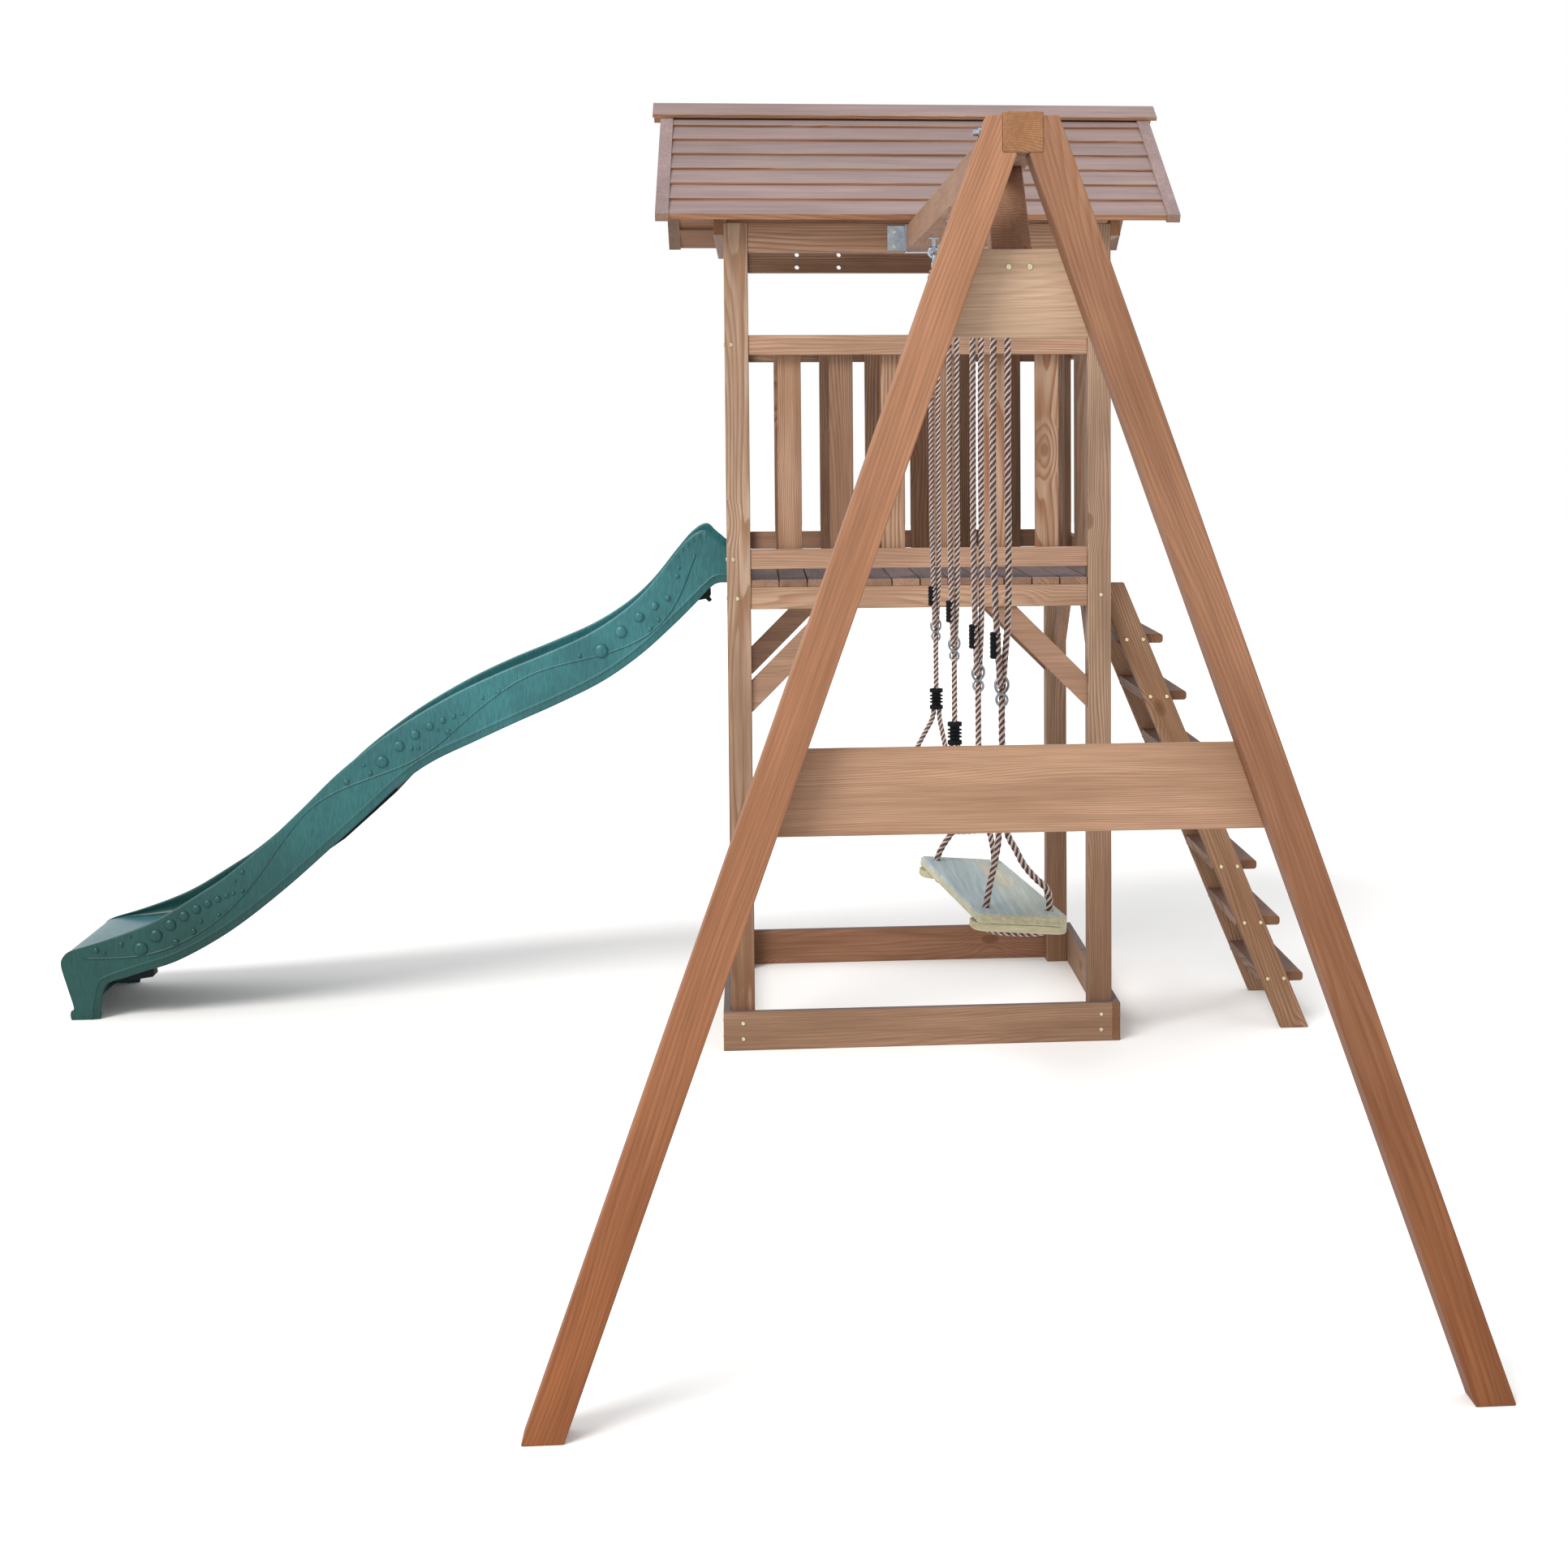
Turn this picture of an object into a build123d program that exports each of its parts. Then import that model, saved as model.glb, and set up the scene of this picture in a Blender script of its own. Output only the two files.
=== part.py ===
from build123d import *
import os
from math import atan2, cos, degrees, radians, sin, sqrt, tan

# Wooden play tower with roof, slide and ladder, and a two-seat swing frame on its near side.
# Millimetres, +Z up. The tower's near-left post corner is the drawing's zero point: +X runs
# towards the ladder and -X down the slide, and -Y runs from the tower out along the swing beam.
# At the end every piece is shifted, so that the zero point is below the middle of the whole set.

# ---------------------------------------------------------------- driving dimensions
TOWER = 980          # outer width of the tower over its posts, both ways
POST = 60            # square posts
POST_TOP = 2100
DECK_TOP = 1200      # standing height of the platform
REVEAL = 4           # rails and joists sit this far inside the posts' outer faces
EASE = 2.5           # rounding of sawn timber edges
RAIL_T = 25          # thickness of rails, uprights and ladder stringers
CENTRE = TOWER / 2

BASE_BOARD_H, BASE_BOARD_T = 100, 20

DECK_BOARD_T = 18
DECK_BOARDS = 12
BOARD_GAP = 3
JOIST_H, JOIST_T = 56, 45
JOIST_TOP = DECK_TOP - DECK_BOARD_T
JOIST_BOTTOM = JOIST_TOP - JOIST_H

RAIL_H = 50
RAIL_LOWS = (1228, 1769)          # undersides of the lower and the upper guard rail
GUARD_TOP = RAIL_LOWS[1] + RAIL_H
BALUSTER_W, BALUSTER_T = 60, 18
BALUSTERS_LONG, BALUSTERS_SHORT = 6, 3
OPENING = 395                     # clear doorway between a post and its upright
UPRIGHT_W = 60

BRACE_LOW, BRACE_HIGH = 862, 943  # where a knee brace meets its post
BRACE_T = 28

TOP_BEAM_H = 74

ROOF_PITCH = 30
EAVE_OUT = 58                     # roof overhang in front of the posts
EAVE_Z = 2096                     # underside of the roof at the eave
ROOF_BOARDS = 7
ROOF_BOARD_T = 16
ROOF_LAP, ROOF_STEP = 14, 8
ROOF_HALF_LENGTH = 657
VERGE_W, VERGE_LOW, VERGE_HIGH = 33, 1, 26
CAP_W, CAP_T, CAP_HALF_LENGTH = 54, 11, 678
GABLE_T, TIE_LOW, TIE_HIGH = 25, 2068, 2108
RAFTER_H = 45

LADDER_FOOT = 1513                # front of the stringers at the ground
LADDER_LEAN = 0.415               # run per unit of rise
STRINGER_RUN = 74                 # stringer width, measured level
STRINGER_TOP = 1180
LADDER_Y = (63, 515)
TREADS, TREAD_FIRST, TREAD_STEP = 7, 144, 150
TREAD_T, TREAD_DEPTH = 24, 117

SLIDE_Y = (497, 947)
SLIDE_WALL = 8
SLIDE_BED = 6

BEAM = 64                         # square swing beam and legs
BEAM_TOP = 2091
BEAM_BOTTOM = BEAM_TOP - BEAM
BEAM_OUT = 2440                   # the beam's free end, out from the tower
LEG_SPREAD = 804                  # half the width over the feet
LEG_HEAD = 56                     # half the width over the leg tops
LEG_TOP = 2085
CROSSBOARD_H, CROSSBOARD_T = 140, 20
CROSSBOARD_LOWS = {"crossboard_lower": 949, "crossboard_upper": 1742}
CROSSBOARD_INSET = 6
LEG_BOLT_Z, LEG_BOLT_R = 2060, 5
BEAM_BRACE_X = (448, 512)         # 45 degree brace from the upper crossboard to the beam
BEAM_BRACE_Z, BEAM_BRACE_T = 1824, 45

SADDLE_T, SADDLE_OUT = 3, 48
SADDLE_LOW, SADDLE_HIGH, SADDLE_FLANGE = 2030, 2093, 46
HOLE_PITCH = (121, 36)            # hole pattern of the saddle, level and upright
HOLE_MIDDLE_Z = 2060
SPARE_HOLES_X = 262
HOLE_R = 3
SPARE_HOLE_R = 6.5

# Each swing: its hooks, how far its seat leans about its long axis, and for each hook the foot
# of its splitter, how much lower its adjuster hangs and how far its doubled rope opens.
SWINGS = {
    "near": ((-2070, -1620), 5.3, ((905, 0, 1.0), (905, 25, 0.6))),
    "far": ((-1060, -530), 0, ((917, 22, 0.6), (930, 28, 0.6))),
}
EYE_WIRE_R, EYE_R, EYE_Z = 4, 11, 1993
LINK_WIRE_R, LINK_R, LINK_LENGTH = 3.5, 12, 52
RING_PLAY = 0.3                   # gap between a link and its eye
PIVOT_Z = EYE_Z - EYE_R + EYE_WIRE_R + LINK_WIRE_R + RING_PLAY
ROPE_R = 6

SEAT_L, SEAT_W, SEAT_T, SEAT_TOP = 560, 160, 20, 765
SEAT_CORNER = 12
SEAT_HOLES = (112, 464)           # hole spacing across and along the seat
SEAT_HOLE_R = 7.5
SEAT_TURN = 6.3                   # both seats hang slightly turned
BATTEN = (168, 62, 14)
BATTEN_INSET = 3                  # from the seat's end
SPLITTER_H, SPLITTER_R = 48, 15.5
SPLITTER_COLLAR = 9
SLEEVE_LOW, SLEEVE_HIGH, SLEEVE_R = 1200, 1246, 9
ADJUSTER_WIRE_R = 2.6
ADJUSTER_RINGS = ((1152, 13), (1129, 9.5))   # height and radius of the two loops

SCREW_HEAD_R, SCREW_SHANK_R, SCREW_SHANK = 4.8, 2.2, 10

nodes = {}


# ---------------------------------------------------------------- helpers
def keep(name, *solids):
    nodes.setdefault(name, []).extend(solids)


def block(x, y, z):
    """A plain box between two corners, each axis given as (low, high)."""
    size = [span[1] - span[0] for span in (x, y, z)]
    middle = [(span[0] + span[1]) / 2 for span in (x, y, z)]
    return Pos(*middle) * Box(*size)


def timber(x, y, z, ease=EASE):
    """A sawn board: a box with all its edges eased."""
    board = block(x, y, z)
    return fillet(board.edges(), ease)


def plate(points, low, high, across="Y", ease=EASE):
    """A board cut to an outline: points are (X, Z) across Y, or (Y, Z) across X."""
    if across == "Y":
        corners = [(a, low, b) for a, b in points]
        direction = (0, 1, 0)
    else:
        corners = [(low, a, b) for a, b in points]
        direction = (1, 0, 0)
    face = Face(Polyline(*corners, close=True))
    board = extrude(face, amount=high - low, dir=direction)
    return fillet(board.edges(), ease) if ease else board


def outline_face(*curves):
    return Face(Wire([edge for curve in curves for edge in curve.edges()]))


def turned(piece):
    """The same piece half a turn round the tower's middle."""
    return Pos(CENTRE, CENTRE, 0) * Rot(0, 0, 180) * Pos(-CENTRE, -CENTRE, 0) * piece


def across_x(piece):
    """The piece mirrored in the tower's middle plane, slide side to ladder side."""
    return mirror(piece, Plane(origin=(CENTRE, 0, 0), z_dir=(1, 0, 0)))


def across_y(piece):
    """The piece mirrored in the tower's middle plane, near side to far side."""
    return mirror(piece, Plane(origin=(0, CENTRE, 0), z_dir=(0, 1, 0)))


def screw(at, outward):
    """A pan-head wood screw: its head is proud of the timber and its shank goes in."""
    head = extrude(Circle(SCREW_HEAD_R), amount=2)
    head = fillet(head.faces().sort_by(Axis.Z)[-1].edges(), 1.2)
    shank = extrude(Circle(SCREW_SHANK_R), amount=-SCREW_SHANK)
    return Plane(origin=at, z_dir=outward) * (head + shank)


def hexagon(radius, thickness):
    return extrude(RegularPolygon(radius, 6), amount=thickness)


# ---------------------------------------------------------------- tower frame
def make_posts():
    near = timber((0, POST), (0, POST), (0, POST_TOP))
    keep("post_near_left", near)
    keep("post_near_right", across_x(near))
    keep("post_far_left", across_y(near))
    keep("post_far_right", turned(near))


def make_base_boards():
    height = (0, BASE_BOARD_H)
    near = timber((-BASE_BOARD_T, TOWER), (-BASE_BOARD_T, 0), height)
    side = timber((TOWER, TOWER + BASE_BOARD_T), (-BASE_BOARD_T, TOWER), height)
    keep("base_board_near", near)
    keep("base_board_far", turned(near))
    keep("base_board_ladder_side", side)
    keep("base_board_slide_side", turned(side))


def make_deck():
    between = (POST, TOWER - POST)
    height = (JOIST_BOTTOM, JOIST_TOP)
    near = timber(between, (REVEAL, REVEAL + JOIST_T), height)
    side = timber((REVEAL, REVEAL + JOIST_T), between, height)
    middle = timber(
        (REVEAL + JOIST_T, TOWER - REVEAL - JOIST_T), (CENTRE - JOIST_T / 2, CENTRE + JOIST_T / 2), height
    )
    keep("deck_joists", near, across_y(near), side, across_x(side), middle)

    pitch = (TOWER - 2 * POST) / DECK_BOARDS
    height = (JOIST_TOP, DECK_TOP)
    for i in range(DECK_BOARDS):
        low = POST + i * pitch + BOARD_GAP / 2
        keep("deck_boards", timber((low, low + pitch - BOARD_GAP), (REVEAL, TOWER - REVEAL), height))
    edge = timber((REVEAL, POST - BOARD_GAP / 2), (POST + BOARD_GAP, TOWER - POST - BOARD_GAP), height)
    keep("deck_boards", edge, across_x(edge))


def make_guards():
    between = (POST, TOWER - POST)
    rail_y = (REVEAL, REVEAL + RAIL_T)
    for low in RAIL_LOWS:
        rail = timber(between, rail_y, (low, low + RAIL_H))
        keep("guard_rails_near", rail)
        keep("guard_rails_far", across_y(rail))
    gap = (between[1] - between[0] - BALUSTERS_LONG * BALUSTER_W) / (BALUSTERS_LONG + 1)
    inside = REVEAL + RAIL_T
    for i in range(BALUSTERS_LONG):
        low = POST + gap + i * (gap + BALUSTER_W)
        post = timber((low, low + BALUSTER_W), (inside, inside + BALUSTER_T), (RAIL_LOWS[0], GUARD_TOP))
        keep("balusters_near", post)
        keep("balusters_far", across_y(post))


def make_doorways():
    """Each side has a doorway with an upright, and a short guard beside it."""
    far_jamb = TOWER - POST - OPENING
    upright = timber((REVEAL, REVEAL + RAIL_T), (far_jamb - UPRIGHT_W, far_jamb), (DECK_TOP, GUARD_TOP))
    keep("guard_uprights", upright, turned(upright))

    guard = (POST, far_jamb - UPRIGHT_W)
    for low in RAIL_LOWS:
        rail = timber((REVEAL, REVEAL + RAIL_T), guard, (low, low + RAIL_H))
        keep("guard_rails_sides", rail, turned(rail))
    gap = (guard[1] - guard[0] - BALUSTERS_SHORT * BALUSTER_W) / (BALUSTERS_SHORT + 1)
    inside = REVEAL + RAIL_T
    for i in range(BALUSTERS_SHORT):
        low = guard[0] + gap + i * (gap + BALUSTER_W)
        post = timber((inside, inside + BALUSTER_T), (low, low + BALUSTER_W), (RAIL_LOWS[0], GUARD_TOP))
        keep("balusters_sides", post, turned(post))


def make_knee_braces():
    """45-degree braces from each post up to the joists on both of its sides."""
    rise_low, rise_high = JOIST_BOTTOM - BRACE_LOW, JOIST_BOTTOM - BRACE_HIGH
    outline = [
        (POST, BRACE_LOW),
        (POST + rise_low, JOIST_BOTTOM),
        (POST + rise_high, JOIST_BOTTOM),
        (POST, BRACE_HIGH),
    ]
    low = REVEAL + (JOIST_T - BRACE_T) / 2
    near = plate(outline, low, low + BRACE_T, across="Y", ease=1.5)
    keep("knee_braces_near_far", near, across_x(near), across_y(near), turned(near))
    side = plate(outline, low, low + BRACE_T, across="X", ease=1.5)
    keep("knee_braces_sides", side, across_x(side), across_y(side), turned(side))


def make_top_beams():
    beam_y = (REVEAL, REVEAL + JOIST_T)
    near = timber((POST, TOWER - POST), beam_y, (POST_TOP - TOP_BEAM_H, POST_TOP))
    keep("top_beam_near", near)
    far = across_y(near)
    for side in (-1, 1):
        for rise in (-1, 1):
            x = SPARE_HOLES_X + side * HOLE_PITCH[0] / 2
            z = HOLE_MIDDLE_Z + rise * HOLE_PITCH[1] / 2
            far -= Pos(x, TOWER - REVEAL - JOIST_T / 2, z) * Rot(90, 0, 0) * Cylinder(SPARE_HOLE_R, JOIST_T + 2)
    keep("top_beam_far", far)


# ---------------------------------------------------------------- roof
SLOPE = radians(ROOF_PITCH)
SLOPE_LENGTH = (CENTRE + EAVE_OUT) / cos(SLOPE)


def on_roof(s, h):
    """(Y, Z) of a point s up the near slope from the eave, and h out from its underside."""
    return (-EAVE_OUT + s * cos(SLOPE) - h * sin(SLOPE), EAVE_Z + s * sin(SLOPE) + h * cos(SLOPE))


def roof_plate(outline, low, high, ease):
    return plate([on_roof(s, h) for s, h in outline], low, high, across="X", ease=ease)


def make_roof_boards():
    """Rebated boards, each standing proud of the one below it."""
    pitch = SLOPE_LENGTH / ROOF_BOARDS
    half = ROOF_HALF_LENGTH - VERGE_W
    reach = pitch + ROOF_LAP
    for i in range(ROOF_BOARDS):
        s = i * pitch
        last = i == ROOF_BOARDS - 1
        upper = pitch if last else reach
        drop = ROOF_STEP * upper / reach
        outline = [(s + upper, ROOF_STEP - drop), (s + upper, ROOF_STEP + ROOF_BOARD_T - drop)]
        outline += [(s, ROOF_STEP + ROOF_BOARD_T)]
        if i == 0:
            outline += [(s, ROOF_STEP)]
        else:
            rebate = ROOF_STEP + ROOF_BOARD_T - ROOF_STEP * pitch / reach + 0.1
            heel = ROOF_STEP - ROOF_STEP * ROOF_LAP / reach
            outline += [(s, rebate), (s + ROOF_LAP + 0.2, rebate), (s + ROOF_LAP + 0.2, heel)]
        board = roof_plate(outline, CENTRE - half, CENTRE + half, ease=0)
        long_edges = board.edges().filter_by(Axis.X)
        front = long_edges.sort_by(Axis.Y)[:1]
        board = fillet(front, 1.5)
        keep("roof_boards_near", board)
        keep("roof_boards_far", across_y(board))


def make_roof_trim():
    for outer in (CENTRE - ROOF_HALF_LENGTH, CENTRE + ROOF_HALF_LENGTH - VERGE_W):
        outline = [
            (-4, VERGE_LOW),
            (SLOPE_LENGTH + VERGE_LOW * tan(SLOPE), VERGE_LOW),
            (SLOPE_LENGTH + VERGE_HIGH * tan(SLOPE), VERGE_HIGH),
            (-4, VERGE_HIGH),
        ]
        trim = roof_plate(outline, outer, outer + VERGE_W, ease=0)
        nose = trim.edges().sort_by(Axis.Y)[:4]
        trim = fillet(nose.sort_by(Axis.Z)[:1], 9)
        keep("verge_trims", trim, across_y(trim))
    low = VERGE_HIGH + 0.2
    high = low + CAP_T
    outline = [
        (SLOPE_LENGTH - CAP_W, low),
        (SLOPE_LENGTH + low * tan(SLOPE), low),
        (SLOPE_LENGTH + high * tan(SLOPE), high),
        (SLOPE_LENGTH - CAP_W, high),
    ]
    cap = roof_plate(outline, CENTRE - CAP_HALF_LENGTH, CENTRE + CAP_HALF_LENGTH, ease=0)
    cap = fillet(cap.edges().filter_by(Axis.X).sort_by(Axis.Y)[:2], 2)
    keep("ridge_caps", cap, across_y(cap))


def make_gables():
    """A tie board and two rafters on the outside of the posts at each end of the roof."""
    thick = RAFTER_H / cos(SLOPE)
    apex = on_roof(SLOPE_LENGTH, 0)[1]
    toe = -EAVE_OUT + (TIE_HIGH - EAVE_Z) / tan(SLOPE)
    outline = [(toe, TIE_HIGH), (CENTRE, apex), (CENTRE, apex - thick), (toe + thick / tan(SLOPE), TIE_HIGH)]
    rafter = plate(outline, -GABLE_T, 0, across="X", ease=0)
    tie = timber((-GABLE_T, 0), (0, TOWER), (TIE_LOW, TIE_HIGH))
    keep("gable_frames", tie, rafter, across_y(rafter), across_x(tie), across_x(rafter), turned(rafter))


# ---------------------------------------------------------------- ladder
def make_ladder():
    def front(z):
        return LADDER_FOOT - LADDER_LEAN * z

    wall = TOWER + 0.5
    z_wall = (LADDER_FOOT - STRINGER_RUN - wall) / LADDER_LEAN
    outline = [
        (LADDER_FOOT - STRINGER_RUN, 0),
        (LADDER_FOOT, 0),
        (front(STRINGER_TOP), STRINGER_TOP),
        (wall, STRINGER_TOP),
        (wall, z_wall),
    ]
    inner = (LADDER_Y[0] + RAIL_T, LADDER_Y[1] - RAIL_T)
    keep("ladder_stringers", plate(outline, LADDER_Y[0], inner[0]), plate(outline, inner[1], LADDER_Y[1]))
    for i in range(TREADS):
        top = TREAD_FIRST + i * TREAD_STEP
        back = front(top - TREAD_T / 2) - STRINGER_RUN + 1
        tread = block((back, back + TREAD_DEPTH), inner, (top - TREAD_T, top))
        nose = tread.edges().filter_by(Axis.Y).sort_by(Axis.X)[-2:]
        tread = fillet(nose, 8)
        keep("ladder_treads", tread)


# ---------------------------------------------------------------- slide
WALL_TOP = [
    (-2, 1252), (-66, 1305), (-149, 1236), (-221, 1147), (-293, 1082), (-388, 1022), (-627, 921),
    (-868, 796), (-1061, 652), (-1257, 465), (-1428, 336), (-1600, 243), (-1765, 190),
]
WALL_BOTTOM = [
    (-1655, 104), (-1560, 130), (-1480, 158), (-1370, 219), (-1187, 356), (-992, 529), (-870, 640),
    (-786, 694), (-690, 736), (-450, 843), (-331, 903), (-247, 962), (-151, 1046), (-91, 1105), (-42, 1154),
]
BED = [
    (-2, 1206), (-30, 1200), (-91, 1129), (-151, 1068), (-247, 984), (-331, 925), (-450, 865), (-690, 758),
    (-786, 716), (-870, 662), (-992, 551), (-1187, 378), (-1370, 247), (-1480, 212), (-1600, 196), (-1760, 187),
]
END_FACE = [(-1796, 150), (-1764, 30), (-1772, 22), (-1772, 0)]
FOOT_TOE = (-1698, 0)
SLIDE_LIP = 70
FITTING_W = 40                    # the hook and the foot bar are short, at the near wall


def at_y(points, y):
    return [(x, y, z) for x, z in points]


def slide_wall(y):
    corner = ThreePointArc(*at_y([WALL_TOP[-1], (-1789, 176), END_FACE[0]], y))
    end = Polyline(*at_y(END_FACE + [FOOT_TOE, (-1688, 75)], y))
    knee = ThreePointArc(*at_y([(-1688, 75), (-1679, 94), WALL_BOTTOM[0]], y))
    head = Polyline(*at_y([WALL_BOTTOM[-1], (-30, 1161), (-2, 1161), WALL_TOP[0]], y))
    top, bottom = Spline(*at_y(WALL_TOP, y)), Spline(*at_y(WALL_BOTTOM, y))
    return extrude(outline_face(top, corner, end, knee, bottom, head), amount=SLIDE_WALL, dir=(0, 1, 0))


def make_slide():
    low, high = SLIDE_Y
    inner = (low + SLIDE_WALL, high - SLIDE_WALL)
    upper = Spline(*at_y(BED, inner[0]))
    lower = Pos(0, 0, -SLIDE_BED) * upper
    ends = [Line(upper @ t, lower @ t) for t in (0, 1)]
    bed = extrude(outline_face(upper, ends[1], lower, ends[0]), amount=inner[1] - inner[0], dir=(0, 1, 0))
    apron_outline = [
        (-1760, 187), (-1786, 168), (-1793, 150), (-1762, 30), (-1754, 30), (-1785, 150), (-1779, 163), (-1756, 181),
    ]
    apron = plate(apron_outline, *inner, across="Y", ease=0)
    far_jamb = TOWER - POST - OPENING
    lip = block((-2.5, SLIDE_LIP), (far_jamb + 2, TOWER - POST - 2), (DECK_TOP, DECK_TOP + SLIDE_BED))
    keep("slide", slide_wall(low) + slide_wall(inner[1]) + bed + apron + lip)

    stiffener = [(-905, 622), (-1084, 455), (-1088, 445), (-1040, 478), (-960, 549), (-897, 606)]
    keep("slide_fittings", plate(stiffener, *inner, across="Y", ease=0))
    foot_bar = [(-1622, 116), (-1556, 138), (-1553, 116), (-1558, 111), (-1616, 103)]
    hook = [
        (-88, 1112), (-60, 1140), (-50, 1148), (-49, 1128), (-53, 1121), (-47, 1113), (-54, 1108), (-63, 1117),
        (-80, 1114),
    ]
    for outline in (foot_bar, hook):
        keep("slide_fittings", plate(outline, inner[0], inner[0] + FITTING_W, across="Y", ease=0))


# ---------------------------------------------------------------- swing frame
def leg_edge(z):
    """X of the left leg's outer edge at a height."""
    foot, head = CENTRE - LEG_SPREAD, CENTRE - LEG_HEAD
    return foot + (head - foot) * z / LEG_TOP


def make_swing_frame():
    lean = atan2(LEG_SPREAD - LEG_HEAD, LEG_TOP)
    run = BEAM / cos(lean)
    side = CENTRE - BEAM / 2
    leg_y = (-BEAM_OUT, -BEAM_OUT + BEAM)
    mid_y = sum(leg_y) / 2
    outline = [
        (leg_edge(0), 0),
        (leg_edge(0) + run, 0),
        (leg_edge(BEAM_BOTTOM) + run, BEAM_BOTTOM),
        (side, BEAM_BOTTOM),
        (side, LEG_TOP),
        (leg_edge(LEG_TOP), LEG_TOP),
    ]
    leg = plate(outline, *leg_y)
    # One bolt, with its nut in a recess on the left and its inner end hidden in the right leg.
    seat_x = leg_edge(LEG_BOLT_Z) + 6
    reach = CENTRE - seat_x
    from_left = Plane(origin=(CENTRE + reach - 25, mid_y, LEG_BOLT_Z), z_dir=(-1, 0, 0))
    bolt_bore = from_left * extrude(Circle(LEG_BOLT_R + 0.4), amount=2 * reach + 50)
    cutter = Cylinder(14, 40, align=(Align.CENTER, Align.CENTER, Align.MIN))
    spot_face = Pos(seat_x, mid_y, LEG_BOLT_Z) * Rot(0, -90, 0) * cutter
    keep("leg_left", leg - bolt_bore - spot_face)
    keep("leg_right", across_x(leg) - bolt_bore)

    beam = timber((side, side + BEAM), (-BEAM_OUT, 0), (BEAM_BOTTOM, BEAM_TOP)) - bolt_bore
    for pair, _, _ in SWINGS.values():
        for y in pair:
            beam -= Pos(CENTRE, y, BEAM_BOTTOM + BEAM / 2) * Cylinder(EYE_WIRE_R + 0.3, BEAM + 2)
    keep("swing_beam", beam)

    bolt = from_left * extrude(Circle(LEG_BOLT_R), amount=2 * reach - 25 + 17)
    out = Plane(origin=(seat_x, mid_y, LEG_BOLT_Z), z_dir=(-1, 0, 0))
    bolt += out * extrude(Circle(12), amount=2)
    bolt += out.offset(2) * hexagon(8, 7)
    keep("leg_bolt", bolt)

    back = leg_y[1]
    for name, low in CROSSBOARD_LOWS.items():
        high = low + CROSSBOARD_H
        left = [leg_edge(z) + CROSSBOARD_INSET for z in (low, high)]
        outline = [(left[0], low), (2 * CENTRE - left[0], low), (2 * CENTRE - left[1], high), (left[1], high)]
        keep(name, plate(outline, back, back + CROSSBOARD_T))

    y, z = back + CROSSBOARD_T, BEAM_BRACE_Z
    rise, thick = BEAM_BOTTOM - z, BEAM_BRACE_T / cos(radians(45))
    outline = [(y, z), (y, z + thick), (y + rise - thick, BEAM_BOTTOM), (y + rise, BEAM_BOTTOM)]
    keep("beam_brace", plate(outline, *BEAM_BRACE_X, across="X"))


def make_saddle():
    """Folded steel saddle that carries the beam on the near top beam."""
    half, t = BEAM / 2, SADDLE_T
    face_y = REVEAL
    reach = (face_y - SADDLE_OUT, face_y)
    bottom = block((CENTRE - half - t, CENTRE + half + t), reach, (BEAM_BOTTOM - t, BEAM_BOTTOM))
    cheek = block((CENTRE - half - t, CENTRE - half), reach, (BEAM_BOTTOM - t, SADDLE_HIGH))
    flange = block(
        (CENTRE - half - SADDLE_FLANGE, CENTRE - half), (face_y - t, face_y), (SADDLE_LOW, SADDLE_HIGH)
    )
    wing = cheek + flange
    for rise in (-1, 1):
        x = CENTRE - HOLE_PITCH[0] / 2
        z = HOLE_MIDDLE_Z + rise * HOLE_PITCH[1] / 2
        wing -= Pos(x, face_y, z) * Rot(90, 0, 0) * Cylinder(HOLE_R, 4 * t)
    saddle = bottom + wing + across_x(wing)
    keep("beam_saddle", saddle)


def make_hooks():
    for pair, _, _ in SWINGS.values():
        for y in pair:
            shank_low = EYE_Z + EYE_R
            shank = extrude(Circle(EYE_WIRE_R - 0.1), amount=BEAM_TOP + 14 - shank_low)
            shank = Pos(CENTRE, y, shank_low) * shank
            eye = Pos(CENTRE, y, EYE_Z) * Rot(90, 0, 0) * Torus(EYE_R, EYE_WIRE_R)
            collar = Pos(CENTRE, y, BEAM_BOTTOM - 2.5) * extrude(Circle(14), amount=2.5)
            top_washer = Pos(CENTRE, y, BEAM_TOP) * extrude(Circle(13), amount=2)
            nut = Pos(CENTRE, y, BEAM_TOP + 2) * hexagon(8, 7)
            keep("hook_bolts", shank + eye + collar + top_washer + nut)


# ---------------------------------------------------------------- swings
# Rope routes at one hook: X and Y are counted from the hook's axis, and Z from the ground.
# The bight at the top goes over the link's lower bar.
def hanging_route(foot, drop, spread):
    """Up from the splitter, through the adjuster, over the link and back down to the adjuster."""
    return [
        (0, 0, foot + SPLITTER_H), (0, 0, 1060 - drop), (-0.5, 1, 1118 - drop), (8, 2, 1172 - drop),
        (14 * spread, 3, 1290 - drop), (11 * spread, -2, 1520), (13 * spread, 2, 1750),
        (9.8, 0, 1941.9), (4.1, 0, 1947.6), (-4.1, 0, 1947.6), (-9.8, 0, 1941.9),
        (-12 * spread, 3, 1740), (-15 * spread, -2, 1500), (-12 * spread, 1, 1290 - drop), (-9, 0, 1150 - drop),
    ]


TOP_BIGHT = range(7, 11)
# The seat rope leaves the splitter: (share of the way to the hole, offset outwards, drop).
SEAT_ROPE_LEG = [(0, 6.4, 0), (0, 6.4, 20), (0.28, 4.6, 52)]
# One leg of the near sling hangs slack, in an S.
SLACK_LEG = [(0, 6.4, 0), (0.03, 7, 15), (0.21, 5.5, 36), (0.36, 5, 62), (0.62, 5, 88), (0.91, 3, 106)]
# Then it goes through the hole and under the seat's end: (share of the hole's X, height from the top).
SEAT_ROPE_HOLE = [(1, 18), (1.01, -28), (0.86, -42)]
BIGHT_R = 9.4


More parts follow.
